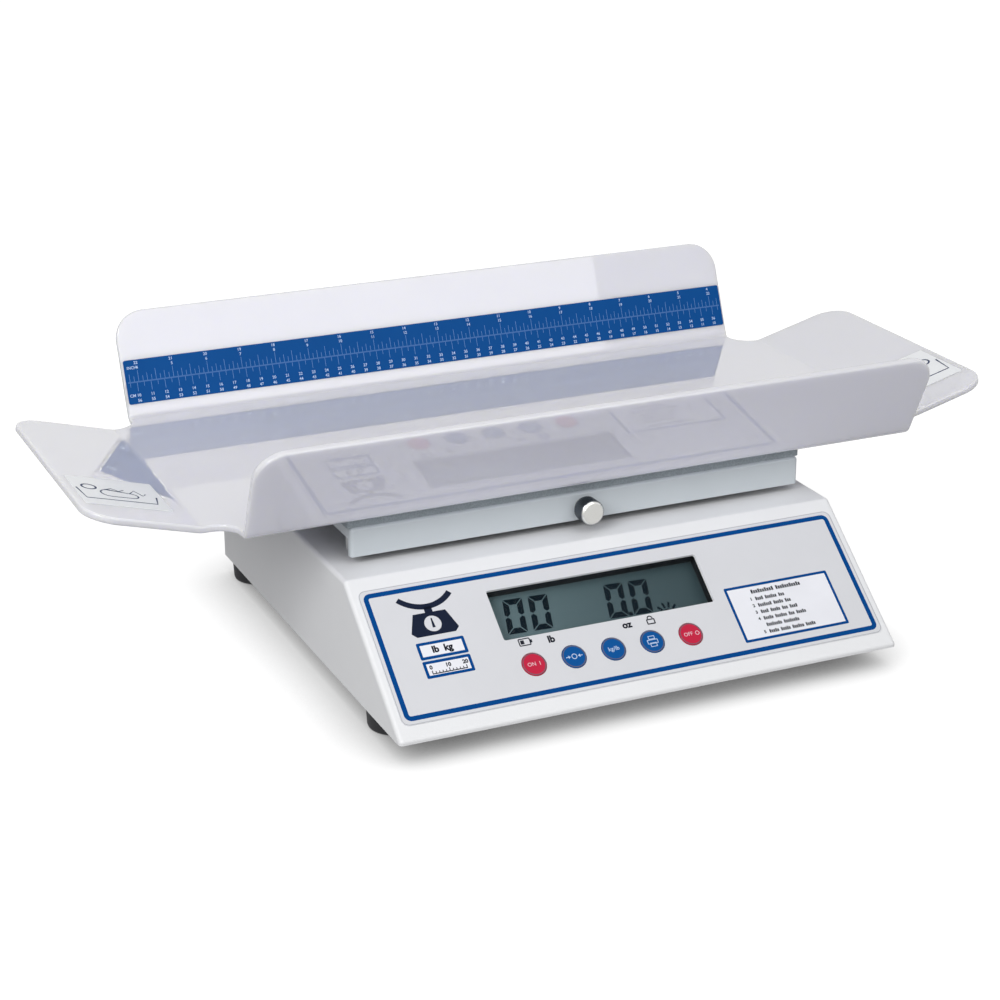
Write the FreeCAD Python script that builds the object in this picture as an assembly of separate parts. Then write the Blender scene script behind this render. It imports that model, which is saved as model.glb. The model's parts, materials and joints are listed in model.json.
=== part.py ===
"""Digital baby weighing scale: a sheet-steel wedge housing with a display and five
keys on its slope, a load cell that carries a sprung platter, and a bent plastic tray
that lifts off the platter once its thumb screw is loosened.

Frame: millimetres, +Z up, X along the tray, -Y towards the operator. The origin is at
the centre of the footprint, on the ground.
"""
import FreeCAD, Part
import math
import os

Vec = FreeCAD.Vector

# --- driving dimensions: housing -------------------------------------------------
FOOT_HEIGHT = 14.0
HOUSING_WIDTH = 353.0
HOUSING_DEPTH = 341.0
TOP_Z = 87.8                # flat top of the housing
LIP_HEIGHT = 2.5            # upright edge below the slope
SLOPE_RUN = 90.4            # slope, measured level from front to back
SHEET = 1.5                 # steel of the housing, the saddle and the base plate
BEND_RADIUS = 3.0

# --- driving dimensions: tray ----------------------------------------------------
TRAY_SHEET = 4.75
TRAY_FLOOR_Z = 120.7        # underside of the tray's floor
TRAY_FLOOR_DEPTH = 246.8
TRAY_SETBACK = 101.1        # housing front to the front bend
FRONT_FLAP_X = (-236.0, 245.5)
BACK_FLAP_X = (-239.5, 239.5)
FRONT_LEAN = 25.0           # degrees from upright, outwards
BACK_LEAN = 22.3
FRONT_FLAP = 69.5           # length of the outer face
BACK_FLAP = 78.0
END_BEND_X = 256.8          # where the floor turns up into an end flap
END_REACH_X = 328.0
END_RISE = 15.0             # degrees
END_WIDTH = 203.0
TRAY_CORNER = 21.0
NOTCH_RADIUS = 15.0
TRAY_BEND = 8.5             # outside radius of the front and back bends
TRAY_EDGE = 1.4             # rounding of the tray's rim

LEAN = math.radians(BACK_LEAN)
RIM_LOSS = TRAY_EDGE * (math.sin(LEAN) + math.cos(LEAN) - 1)
OVERALL_DEPTH = TRAY_SETBACK + TRAY_FLOOR_DEPTH + BACK_FLAP * math.sin(LEAN) - RIM_LOSS
FRONT_Y = -OVERALL_DEPTH / 2
BACK_Y = FRONT_Y + HOUSING_DEPTH
BEND_Y = FRONT_Y + SLOPE_RUN
SLOPE = math.atan2(TOP_Z - FOOT_HEIGHT - LIP_HEIGHT, SLOPE_RUN)
CENTRE_Y = FRONT_Y + TRAY_SETBACK + TRAY_FLOOR_DEPTH / 2     # middle of tray and load cell
TRAY_BACK_Y = CENTRE_Y + TRAY_FLOOR_DEPTH / 2

# --- what lies on the tray ------------------------------------------------------------
RULER_LENGTH = 476.0
RULER_LOW = 9.0             # distances up the back flap's inner face
RULER_HIGH = 40.15
FILM = 0.25
LABEL_NEAR = 10.7           # distances up the end flap from its bend
LABEL_FAR = 67.6
LABEL_FRONT = -75.7         # from the tray's middle
LABEL_BACK = -22.7

# --- saddle, platter and thumb screw --------------------------------------------------
SADDLE_WIDTH = 327.0
SADDLE_DEPTH = 227.0
SADDLE_LOW = 93.5
SADDLE_TOP = 112.9
SADDLE_SIDE_LOW = 105.0
SADDLE_RETURN = 4.5
SADDLE_BEND = 2.5
FOAM_DEPTH = 14.0
FOAM_INSET = 2.0
FOAM_OVERHANG = 1.5
PLATTER_SHEET = 2.0
PLATTER_TOP = SADDLE_TOP - SHEET
PLATTER_GAP = 0.5
PLATTER_LOW = 94.8
PLATTER_SIDE_LOW = 104.0
SCREW_Z = 102.5
STUD_RADIUS = 2.5
RUNNING_GAP = 0.05
KNOB_RADIUS = 8.5
KNOB_LENGTH = 14.0
KNOB_TEETH = 36
WASHER = 1.2
WASHER_RADIUS = 6.5

# --- load cell and spider -------------------------------------------------------------
CELL_LENGTH = 130.0
CELL_WIDTH = 30.0
CELL_HEIGHT = 22.0
BASE_SPACER = 8.0
TOP_SPACER = 6.0
SPIDER = 8.0
PLATE_TOP = FOOT_HEIGHT + SHEET
CELL_Z = PLATE_TOP + BASE_SPACER
CELL_TOP = CELL_Z + CELL_HEIGHT
SPIDER_Z = CELL_TOP + TOP_SPACER
SPIDER_TOP = SPIDER_Z + SPIDER
POST_X = 110.0
POST_Y = 70.0
POST_RADIUS = 7.0
POST_HOLE_RADIUS = 10.0
POST_THREAD = 2.5
POST_SCREW = 12.0
SINK_TOP_RADIUS = 5.2
SINK_LOW_RADIUS = 3.2
STOP_X = 93.0
STOP_Y = 51.0
STOP_GAP = 0.8
CELL_HOLES = (41.0, 56.0)   # distances of the screws from the middle of the cell

# --- control panel, on the slope: x across, s down from the top bend --------------
OVERLAY = 0.5
OVERLAY_X = (-171.0, 171.0)
OVERLAY_S = (9.6, 105.4)
WINDOW_X = (-88.3, 62.0)
WINDOW_S = (24.7, 61.1)
HOOD_X = (-90.1, 63.8)
HOOD_S = (23.7, 62.6)
LCD_DEPTH = 11.0
LCD_THICK = 2.8
LENS_THICK = 1.5
BOARD = 1.6
KEY_X = [-74.8 + 27.78 * i for i in range(5)]
KEY_S = 80.9
KEY_RADIUS = 8.05
KEY_HOLE_RADIUS = 8.4
KEY_RISE = 0.9
KEY_FLANGE_RADIUS = 11.25
KEY_FLANGE = 1.0
KEY_NUB = 1.5
STUD_THREAD = 1.15
DOME_HEIGHT = 0.8
DOME_RADIUS = 6.0
DOME_SHEET = 0.2
KEY_NAMES = ("key_on", "key_zero", "key_units", "key_print", "key_off")

# --- feet, base plate and what stands on it -------------------------------------------
FOOT_RADIUS = 19.0
FOOT_X = 156.0
FOOT_FRONT_Y = FRONT_Y + 57.0
FOOT_BACK_Y = BACK_Y - 18.8
FOOT_SINK = 6.0             # depth of the recess for the screw
FOOT_THREAD = 2.45
FOOT_NUT = 4.0
PLATE_GAP = 0.5
TAB_SIDE_Y = (-110.0, -12.0, 86.0)
TAB_END_X = (-95.0, 95.0)
TAB_LENGTH = 13.0
TAB_WIDTH = 16.0
BOARD_X = (-158.0, -103.0)
BOARD_Y = (-40.0, 90.0)
BOARD_STANDOFF = 6.0
BATTERY_X = (-56.0, 56.0)
BATTERY_Y = (-98.0, -48.0)
BATTERY_HEIGHT = 17.5
BATTERY_WALL = 1.5
BATTERY_FLANGE = 1.0
BATTERY_ROWS = 3
AA_RADIUS = 7.2
AA_LENGTH = 50.2
DOOR_THICK = 1.6
RAIL_LIP = 1.1
JACK_X = -118.0
SERIAL_X = -62.0
PORT_Z = 32.0
JACK_RADIUS = 5.4
SERIAL_POSTS = (-12.5, 12.5)
PIN_PITCH = 2.77


# --- shape helpers --------------------------------------------------------------------
def block(x, y, z):
    """Box between three (low, high) pairs."""
    corner = Vec(x[0], y[0], z[0])
    return Part.makeBox(x[1] - x[0], y[1] - y[0], z[1] - z[0], corner)


def rod(radius, low, high, x=0.0, y=0.0):
    """Upright cylinder between two heights."""
    return Part.makeCylinder(radius, high - low, Vec(x, y, low))


def rod_back(radius, front, back, x, z):
    """Cylinder that runs from front to back along Y."""
    return Part.makeCylinder(radius, back - front, Vec(x, front, z), Vec(0, 1, 0))


def prism(points, reach):
    """Closed outline pushed along a vector."""
    wire = Part.makePolygon(points + [points[0]])
    return Part.Face(wire).extrude(reach)


def hexagon(flats, low, high, x=0.0, y=0.0):
    """Upright hexagonal bar, given the distance across its flats."""
    corner = flats / math.sqrt(3)
    turns = [math.radians(60 * i) for i in range(6)]
    points = [Vec(x + corner * math.cos(a), y + corner * math.sin(a), low) for a in turns]
    return prism(points, Vec(0, 0, high - low))


def turned(profile, x=0.0, y=0.0):
    """Solid of revolution about an upright axis, from (radius, height) points."""
    points = [Vec(r, 0, z) for r, z in profile]
    wire = Part.makePolygon(points + [points[0]])
    solid = Part.Face(wire).revolve(Vec(0, 0, 0), Vec(0, 0, 1), 360)
    return moved(solid, x, y, 0)


def moved(shape, x=0.0, y=0.0, z=0.0):
    copy = shape.copy()
    copy.translate(Vec(x, y, z))
    return copy


def joined(shapes):
    """One solid from overlapping shapes."""
    return shapes[0].fuse(shapes[1:]).removeSplitter()


def gathered(shapes):
    """Separate solids kept in one sub-part."""
    return Part.makeCompound(shapes)


def cut(shape, tools):
    return shape.cut(Part.makeCompound(tools)).removeSplitter()


def direction(edge):
    return edge.tangentAt(edge.FirstParameter)


def is_straight(edge):
    return isinstance(edge.Curve, Part.Line)


def runs_along(edge, axis):
    return is_straight(edge) and abs(direction(edge).dot(axis)) > 0.9999


def rounded(shape, radius, wanted):
    """Round the edges that the test picks."""
    return shape.makeFillet(radius, [edge for edge in shape.Edges if wanted(edge)])


def is_sharp(shape, edge):
    """True where the two faces of an edge meet at a corner, not smoothly."""
    faces = shape.ancestorsOfType(edge, Part.Face)
    if len(faces) != 2:
        return False
    middle = edge.valueAt((edge.FirstParameter + edge.LastParameter) / 2)
    normals = [face.normalAt(*face.Surface.parameter(middle)) for face in faces]
    return normals[0].dot(normals[1]) < 0.9


def rounded_block(x, y, z, radius):
    """Box with its four upright edges rounded."""
    return rounded(block(x, y, z), radius, lambda edge: runs_along(edge, Vec(0, 0, 1)))


def corners(x, y):
    return [(a, b) for a in x for b in y]


# --- panel frame ----------------------------------------------------------------------
def on_panel(shape):
    """Move a shape drawn at (x, -s, height above the slope) onto the slope."""
    copy = shape.copy()
    copy.rotate(Vec(0, 0, 0), Vec(1, 0, 0), math.degrees(SLOPE))
    copy.translate(Vec(0, BEND_Y, TOP_Z))
    return copy


def down_slope(s):
    """(low, high) pair of the panel frame's Y for a pair of distances down the slope."""
    return (-s[1], -s[0])


def grown(pair, by):
    return (pair[0] - by, pair[1] + by)


# --- tray -----------------------------------------------------------------------------
def bend_offset(lean):
    """How far a flap's inner face meets the floor's upper face inside the outer bend."""
    return TRAY_SHEET * math.cos(lean) / (1 + math.sin(lean))


def flap(side, x_range, length, lean):
    """Half of the floor with the flap at its edge; side is -1 in front and 1 behind."""
    middle = Vec(0, CENTRE_Y, TRAY_FLOOR_Z)
    bend = middle + Vec(0, side * TRAY_FLOOR_DEPTH / 2, 0)
    top = bend + Vec(0, side * math.sin(lean), math.cos(lean)) * length
    inward = Vec(0, -side * math.cos(lean), math.sin(lean)) * TRAY_SHEET
    up = Vec(0, 0, TRAY_SHEET)
    inner_bend = bend + up + Vec(0, -side * bend_offset(lean), 0)
    outline = [middle, bend, top, top + inward, inner_bend, middle + up]
    start = Vec(x_range[0], 0, 0)
    sheet = prism([point + start for point in outline], Vec(x_range[1] - x_range[0], 0, 0))

    def is_bend(edge, place):
        centre = edge.BoundBox.Center
        near = math.hypot(centre.y - place.y, centre.z - place.z) < 0.1
        return near and runs_along(edge, Vec(1, 0, 0))

    def is_top_corner(edge):
        across = is_straight(edge) and edge.Length < TRAY_SHEET + 0.1
        return across and edge.BoundBox.ZMin > TRAY_FLOOR_Z + 2 * TRAY_SHEET

    sheet = rounded(sheet, TRAY_BEND, lambda edge: is_bend(edge, bend))
    sheet = rounded(sheet, TRAY_BEND - TRAY_SHEET, lambda edge: is_bend(edge, inner_bend))
    return rounded(sheet, TRAY_CORNER, is_top_corner)


def end_strip():
    """Floor with the two end flaps that slope up and outwards."""
    rise = math.radians(END_RISE)
    reach = (END_REACH_X - END_BEND_X) * math.tan(rise)
    mitre = math.tan(rise / 2) * TRAY_SHEET
    lift = Vec(-math.sin(rise), 0, math.cos(rise)) * TRAY_SHEET
    right = [Vec(END_BEND_X, 0, 0), Vec(END_REACH_X, 0, reach)]
    right_inner = [right[1] + lift, Vec(END_BEND_X - mitre, 0, TRAY_SHEET)]
    half = right + right_inner
    points = half + [Vec(-p.x, 0, p.z) for p in reversed(half)]
    place = Vec(0, CENTRE_Y - END_WIDTH / 2, TRAY_FLOOR_Z)
    strip = prism([point + place for point in points], Vec(0, END_WIDTH, 0))

    def is_bend(edge):
        return runs_along(edge, Vec(0, 1, 0)) and abs(abs(edge.BoundBox.XMax) - END_BEND_X) < 2

    def is_outer_corner(edge):
        across = is_straight(edge) and abs(edge.Length - TRAY_SHEET) < 0.01
        return across and abs(edge.BoundBox.Center.x) > END_BEND_X + 10

    strip = rounded(strip, 2 * TRAY_BEND, is_bend)
    return rounded(strip, TRAY_CORNER, is_outer_corner)


def tray():
    """One sheet, bent up on four sides, with notches between the flaps."""
    front = flap(-1, FRONT_FLAP_X, FRONT_FLAP, math.radians(FRONT_LEAN))
    back = flap(1, BACK_FLAP_X, BACK_FLAP, LEAN)
    sheet = joined([front, back, end_strip()])

    def is_notch(edge):
        at_flap_end = any(abs(edge.BoundBox.XMax - x) < 0.01 for x in FRONT_FLAP_X + BACK_FLAP_X)
        return at_flap_end and runs_along(edge, Vec(0, 0, 1))

    sheet = rounded(sheet, NOTCH_RADIUS, is_notch)
    return rounded(sheet, TRAY_EDGE, lambda edge: is_sharp(sheet, edge))


def ruler_strip():
    """Printed film on the inner face of the back flap."""
    half = RULER_LENGTH / 2
    film = rounded_block((-half, half), (RULER_LOW, RULER_HIGH), (0, FILM), 1.5)
    film.rotate(Vec(0, 0, 0), Vec(1, 0, 0), 90 - BACK_LEAN)
    film.translate(Vec(0, TRAY_BACK_Y - bend_offset(LEAN), TRAY_FLOOR_Z + TRAY_SHEET))
    return film


def position_label(side):
    """Film on an end flap; side is -1 on the left and 1 on the right."""
    film = rounded_block((LABEL_NEAR, LABEL_FAR), (LABEL_FRONT, LABEL_BACK), (0, FILM), 1.0)
    if side < 0:
        film = film.mirror(Vec(0, 0, 0), Vec(1, 0, 0))
    mitre = math.tan(math.radians(END_RISE) / 2) * TRAY_SHEET
    film.rotate(Vec(0, 0, 0), Vec(0, 1, 0), -side * END_RISE)
    film.translate(Vec(side * (END_BEND_X - mitre), CENTRE_Y, TRAY_FLOOR_Z + TRAY_SHEET))
    return film


# --- saddle under the tray ------------------------------------------------------------
def pan(width, depth, low, top, sheet, bend):
    """Sheet-metal pan, open below, with rounded bends."""
    def lid(inset, floor):
        x = (-width / 2 + inset, width / 2 - inset)
        y = (CENTRE_Y - depth / 2 + inset, CENTRE_Y + depth / 2 - inset)
        solid = block(x, y, (floor, top - inset))
        return rounded(solid, bend - inset, lambda edge: edge.BoundBox.ZMax > floor + 0.1)
    return lid(0, low).cut(lid(sheet, low - 5))


def side_relief(width, depth, low, side_low, keep):
    """Cutters that leave only short returns at the ends of a pan's side flanges."""
    y = (CENTRE_Y - depth / 2 + keep, CENTRE_Y + depth / 2 - keep)
    return [block((min(a, b), max(a, b)), y, (low - 1, side_low))
            for a, b in ((side * (width / 2 - 8), side * (width / 2 + 8)) for side in (-1, 1))]


def tray_saddle():
    """Pan that hooks over the platter, with a slot that drops onto the thumb screw."""
    shell = pan(SADDLE_WIDTH, SADDLE_DEPTH, SADDLE_LOW, SADDLE_TOP, SHEET, SADDLE_BEND)
    front = CENTRE_Y - SADDLE_DEPTH / 2
    slot_half = STUD_RADIUS + 0.75
    slot_y = (front - 1, front + SHEET + 1)
    slot = [
        block((-slot_half, slot_half), slot_y, (SADDLE_LOW - 1, SCREW_Z)),
        rod_back(slot_half, slot_y[0], slot_y[1], 0, SCREW_Z),
    ]
    relief = side_relief(SADDLE_WIDTH, SADDLE_DEPTH, SADDLE_LOW, SADDLE_SIDE_LOW, SADDLE_RETURN)
    return cut(shell, slot + relief)


def foam_strip(side):
    """Foam between saddle and tray; side is -1 in front and 1 behind."""
    half = SADDLE_WIDTH / 2 + FOAM_OVERHANG
    edge = SADDLE_DEPTH / 2 - FOAM_INSET
    y = sorted((CENTRE_Y + side * edge, CENTRE_Y + side * (edge - FOAM_DEPTH)))
    return rounded_block((-half, half), y, (SADDLE_TOP, TRAY_FLOOR_Z), 2.0)


# --- platter --------------------------------------------------------------------------
def post_places():
    return [(x, CENTRE_Y + y) for x, y in corners((-POST_X, POST_X), (-POST_Y, POST_Y))]


def platter_plate():
    """Pan that the saddle drops over, with countersunk holes above the posts."""
    inner = SHEET + PLATTER_GAP
    width = SADDLE_WIDTH - 2 * inner
    depth = SADDLE_DEPTH - 2 * inner
    shell = pan(width, depth, PLATTER_LOW, PLATTER_TOP, PLATTER_SHEET, 2.5)
    low = PLATTER_TOP - PLATTER_SHEET
    sinks = [
        Part.makeCone(SINK_LOW_RADIUS, SINK_TOP_RADIUS, PLATTER_SHEET, Vec(x, y, low))
        for x, y in post_places()
    ]
    front = CENTRE_Y - depth / 2
    hole = rod_back(STUD_RADIUS + 0.4, front - 1, front + PLATTER_SHEET + 1, 0, SCREW_Z)
    relief = side_relief(width, depth, PLATTER_LOW, PLATTER_SIDE_LOW, 12)
    return cut(shell, sinks + relief + [hole])


def clamp_nut():
    """Hexagon weld nut behind the platter's front flange."""
    front = CENTRE_Y - SADDLE_DEPTH / 2 + SHEET + PLATTER_GAP + PLATTER_SHEET
    nut = hexagon(10, 0, 6)
    nut = nut.common(turned([(0, 0), (4.9, 0), (5.77, 0.8), (5.77, 5.2), (4.9, 6), (0, 6)]))
    nut = nut.cut(rod(STUD_RADIUS + RUNNING_GAP, -1, 7))
    nut.rotate(Vec(0, 0, 0), Vec(1, 0, 0), -90)
    return moved(nut, 0, front, SCREW_Z)


def platter_posts():
    """Four turned posts that pass through the top of the housing."""
    top = PLATTER_TOP - PLATTER_SHEET
    profile = [
        (2.6, SPIDER_TOP), (POST_RADIUS - 0.8, SPIDER_TOP), (POST_RADIUS, SPIDER_TOP + 0.8),
        (POST_RADIUS, top - 0.8), (POST_RADIUS - 0.8, top), (2.6, top),
    ]
    return gathered([turned(profile, x, y) for x, y in post_places()])


def platter_screws():
    """Countersunk screws, flush with the top of the platter."""
    low = PLATTER_TOP - PLATTER_SHEET
    profile = [
        (0, PLATTER_TOP), (SINK_TOP_RADIUS - 0.2, PLATTER_TOP), (SINK_LOW_RADIUS - 0.1, low),
        (POST_THREAD, low), (POST_THREAD, low - POST_SCREW), (0, low - POST_SCREW),
    ]
    return gathered([turned(profile, x, y) for x, y in post_places()])


def cap_screw(radius, top, length, x, y):
    """Round-headed socket screw that points down; its head stands on the height top."""
    head = radius * 1.7
    body = turned([
        (0, top + radius * 2), (head - 0.5, top + radius * 2), (head, top + radius * 2 - 0.5),
        (head, top), (radius, top), (radius, top - length), (0, top - length),
    ], x, y)
    return body.cut(hexagon(radius * 1.6, top + radius, top + radius * 2 + 1, x, y))


def upturned(shape, height):
    """The same shape upside down, mirrored about a level plane."""
    return shape.mirror(Vec(0, 0, height), Vec(0, 0, 1))


def post_screws():
    """Socket screws that hold the posts from below the spider."""
    screws = [cap_screw(2.5, SPIDER_Z + 4, 14, x, y) for x, y in post_places()]
    return gathered([upturned(screw, SPIDER_Z + 4) for screw in screws])


def spider_frame():
    """Cast H-frame: a bar over the load cell and four tapered arms to the posts."""
    depth = Vec(0, 0, SPIDER)
    bar = rounded_block((-68, 68), (CENTRE_Y - 20, CENTRE_Y + 20), (SPIDER_Z, SPIDER_TOP), 8)
    solids = [bar]
    for x, y in post_places():
        start = Vec(math.copysign(52, x), CENTRE_Y, SPIDER_Z)
        end = Vec(x, y, SPIDER_Z)
        along = (end - start).normalize()
        across = Vec(-along.y, along.x, 0)
        points = [start + across * 13, start - across * 13, end - across * 8, end + across * 8]
        solids.append(prism(points, depth))
        solids.append(rod(13, SPIDER_Z, SPIDER_TOP, x, y))
    frame = joined(solids)
    holes = []
    for x, y in post_places():
        holes.append(rod(2.7, SPIDER_Z - 1, SPIDER_TOP + 1, x, y))
        holes.append(rod(4.6, SPIDER_Z - 1, SPIDER_Z + 4, x, y))
    for x in CELL_HOLES:
        holes.append(rod(3.3, SPIDER_Z - 1, SPIDER_TOP + 1, x, CENTRE_Y))
    window = rounded_block((-48, 26), (CENTRE_Y - 9, CENTRE_Y + 9), (SPIDER_Z - 1, SPIDER_TOP + 1), 5)
    return cut(frame, holes + [window])


# --- thumb screw ----------------------------------------------------------------------
def knob_face_y():
    """Where the washer rests on the saddle's front flange."""
    return CENTRE_Y - SADDLE_DEPTH / 2


def facing_front(shape):
    """Turn a shape drawn upright so that +Z points to the front, at the screw's axis."""
    copy = shape.copy()
    copy.rotate(Vec(0, 0, 0), Vec(1, 0, 0), 90)
    return moved(copy, 0, knob_face_y(), SCREW_Z)


def knob_washer():
    ring = rod(WASHER_RADIUS, 0, WASHER).cut(rod(STUD_RADIUS + RUNNING_GAP, -1, WASHER + 1))
    return facing_front(ring)


def thumb_screw():
    """Knurled head with a bevelled face, and the stud that runs in the weld nut."""
    end = WASHER + KNOB_LENGTH
    collar = WASHER + 2.0
    stud_end = -(SHEET + PLATTER_GAP + PLATTER_SHEET + 8)
    head = turned([
        (0, WASHER), (KNOB_RADIUS - 2.5, WASHER), (KNOB_RADIUS - 2.5, collar),
        (KNOB_RADIUS, collar + 0.5), (KNOB_RADIUS, end - 1.6), (KNOB_RADIUS - 1.6, end), (0, end),
    ])
    groove = Part.makeCylinder(0.45, KNOB_LENGTH, Vec(KNOB_RADIUS, 0, collar - 0.5))
    grooves = []
    for tooth in range(KNOB_TEETH):
        turn = groove.copy()
        turn.rotate(Vec(0, 0, 0), Vec(0, 0, 1), 360.0 * tooth / KNOB_TEETH)
        grooves.append(turn)
    head = head.cut(Part.makeCompound(grooves))
    stud = turned([
        (0, stud_end), (STUD_RADIUS - 0.7, stud_end), (STUD_RADIUS, stud_end + 0.7),
        (STUD_RADIUS, WASHER + 1), (0, WASHER + 1),
    ])
    return facing_front(head.fuse(stud))


# --- load cell ------------------------------------------------------------------------
def load_cell():
    """Single-point beam, thinned by two bores joined by a slot."""
    half = CELL_LENGTH / 2
    y = (CENTRE_Y - CELL_WIDTH / 2, CENTRE_Y + CELL_WIDTH / 2)
    beam = block((-half, half), y, (CELL_Z, CELL_TOP))
    beam = rounded(beam, 1.0, lambda edge: is_straight(edge))
    middle = CELL_Z + CELL_HEIGHT / 2
    tools = [rod_back(8.2, y[0] - 1, y[1] + 1, x, middle) for x in (-17, 17)]
    tools.append(block((-17, 17), grown(y, 1), (middle - 5, middle + 5)))
    tools += [rod(2.9, CELL_TOP - 14, CELL_TOP + 1, x, CENTRE_Y) for x in CELL_HOLES]
    tools += [rod(2.9, CELL_Z - 1, CELL_Z + 14, -x, CENTRE_Y) for x in CELL_HOLES]
    return cut(beam, tools)


def cell_spacer(side, low, high):
    """Pad between the end of the beam and what it is bolted to."""
    x = sorted((side * CELL_LENGTH / 2, side * (CELL_LENGTH / 2 - 34)))
    y = (CENTRE_Y - CELL_WIDTH / 2, CENTRE_Y + CELL_WIDTH / 2)
    pad = block(x, y, (low, high))
    return cut(pad, [rod(3.2, low - 1, high + 1, side * hole, CENTRE_Y) for hole in CELL_HOLES])


def load_cell_top_screws():
    length = SPIDER + TOP_SPACER + 12
    return gathered([cap_screw(2.85, SPIDER_TOP, length, x, CENTRE_Y) for x in CELL_HOLES])


def load_cell_base_screws():
    length = SHEET + BASE_SPACER + 12
    screws = [cap_screw(2.85, FOOT_HEIGHT, length, -x, CENTRE_Y) for x in CELL_HOLES]
    return gathered([upturned(screw, FOOT_HEIGHT) for screw in screws])


def overload_stops():
    """Hexagon pillars under the arms, a little short of them."""
    pillars = []
    for x, y in corners((-STOP_X, STOP_X), (-STOP_Y, STOP_Y)):
        top = SPIDER_Z - STOP_GAP
        base = hexagon(12, PLATE_TOP, top - 6, x, CENTRE_Y + y)
        profile = [(0, top - 6), (4, top - 6), (4, top - 1), (3, top), (0, top)]
        tip = turned(profile, x, CENTRE_Y + y)
        pillars.append(base.fuse(tip).removeSplitter())
    return gathered(pillars)


# --- housing --------------------------------------------------------------------------
def wedge(inset, floor):
    """Body of the housing, smaller by inset on every side but the bottom."""
    front = FRONT_Y + inset
    back = BACK_Y - inset
    top = TOP_Z - inset
    bend = BEND_Y + inset * math.tan(SLOPE / 2)
    lip = top - (bend - front) * math.tan(SLOPE)
    left = -HOUSING_WIDTH / 2 + inset
    points = [(front, floor), (front, lip), (bend, top), (back, top), (back, floor)]
    outline = [Vec(left, y, z) for y, z in points]
    solid = prism(outline, Vec(HOUSING_WIDTH - 2 * inset, 0, 0))
    return rounded(solid, BEND_RADIUS - inset, lambda edge: edge.BoundBox.ZMax > floor + 0.1)


def tab_places():
    """Centres of the inward tabs, as (x, y) at the wall and the way they point."""
    side = HOUSING_WIDTH / 2 - SHEET / 2
    places = [(x, y, -x / side, 0) for x in (-side, side) for y in TAB_SIDE_Y]
    places += [(x, FRONT_Y + SHEET / 2, 0, 1) for x in TAB_END_X]
    places += [(x, BACK_Y - SHEET / 2, 0, -1) for x in TAB_END_X]
    return places


def tab_hole(place):
    x, y, dx, dy = place
    return (x + dx * (TAB_LENGTH - 5), y + dy * (TAB_LENGTH - 5))


def cover_tab(place):
    x, y, dx, dy = place
    half = TAB_WIDTH / 2
    xs = sorted((x, x + dx * TAB_LENGTH)) if dx else (x - half, x + half)
    ys = sorted((y, y + dy * TAB_LENGTH)) if dy else (y - half, y + half)
    return block(xs, ys, (PLATE_TOP, PLATE_TOP + SHEET))


def housing_cover():
    """Wedge of sheet steel, open below, with inward tabs for the base plate."""
    shell = wedge(0, FOOT_HEIGHT).cut(wedge(SHEET, FOOT_HEIGHT - 5))
    shell = joined([shell] + [cover_tab(place) for place in tab_places()])
    through = (-SHEET - 4, 1)
    window = rounded_block(WINDOW_X, down_slope(WINDOW_S), through, 1.5)
    tools = [on_panel(window)]
    tools += [on_panel(rod(KEY_HOLE_RADIUS, -4, 1, x, -KEY_S)) for x in KEY_X]
    tools += [rod(POST_HOLE_RADIUS, TOP_Z - 5, TOP_Z + 1, x, y) for x, y in post_places()]
    tools += [rod(2.1, PLATE_TOP - 1, PLATE_TOP + SHEET + 1, *tab_hole(p)) for p in tab_places()]
    wall = (BACK_Y - 4, BACK_Y + 1)
    tools.append(rod_back(JACK_RADIUS + 0.2, *wall, JACK_X, PORT_Z))
    tools.append(block(grown((SERIAL_X, SERIAL_X), 9.5), wall, grown((PORT_Z, PORT_Z), 5)))
    tools += [rod_back(1.8, *wall, SERIAL_X + x, PORT_Z) for x in SERIAL_POSTS]
    return cut(shell, tools)


def base_plate():
    """Flat steel floor of the housing, inside its walls."""
    reach = HOUSING_WIDTH / 2 - SHEET - PLATE_GAP
    y = (FRONT_Y + SHEET + PLATE_GAP, BACK_Y - SHEET - PLATE_GAP)
    plate = rounded_block((-reach, reach), y, (FOOT_HEIGHT, PLATE_TOP), 2.0)
    low, high = FOOT_HEIGHT - 1, PLATE_TOP + 1
    tools = [rod(2.6, low, high, x, y) for x, y in foot_places()]
    tools += [rod(2.1, low, high, *tab_hole(place)) for place in tab_places()]
    tools += [rod(3.2, low, high, -x, CENTRE_Y) for x in CELL_HOLES]
    tools.append(block(grown(BATTERY_X, 0.3), grown(BATTERY_Y, 0.3), (low, high)))
    return cut(plate, tools)


def foot_places():
    return corners((-FOOT_X, FOOT_X), (FOOT_FRONT_Y, FOOT_BACK_Y))


def foot(x, y):
    """Rubber foot with a rounded tread and a recess for its screw."""
    tread = FOOT_RADIUS - 0.6
    bore = FOOT_THREAD + 0.25
    return turned([
        (bore, FOOT_SINK), (6.5, FOOT_SINK), (6.5, 0), (tread - 1.8, 0), (tread - 0.5, 0.6),
        (tread, 1.8), (FOOT_RADIUS, FOOT_HEIGHT - 2), (FOOT_RADIUS, FOOT_HEIGHT), (bore, FOOT_HEIGHT),
    ], x, y)


def foot_screws():
    reach = PLATE_TOP + FOOT_NUT + 0.1 - FOOT_SINK
    screws = [cap_screw(FOOT_THREAD, FOOT_SINK, reach, x, y) for x, y in foot_places()]
    return gathered([upturned(screw, FOOT_SINK) for screw in screws])


def foot_nuts():
    top = PLATE_TOP + FOOT_NUT
    nuts = []
    for x, y in foot_places():
        bore = rod(FOOT_THREAD + RUNNING_GAP, PLATE_TOP - 1, top + 1, x, y)
        nuts.append(hexagon(8, PLATE_TOP, top, x, y).cut(bore))
    return gathered(nuts)


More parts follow.
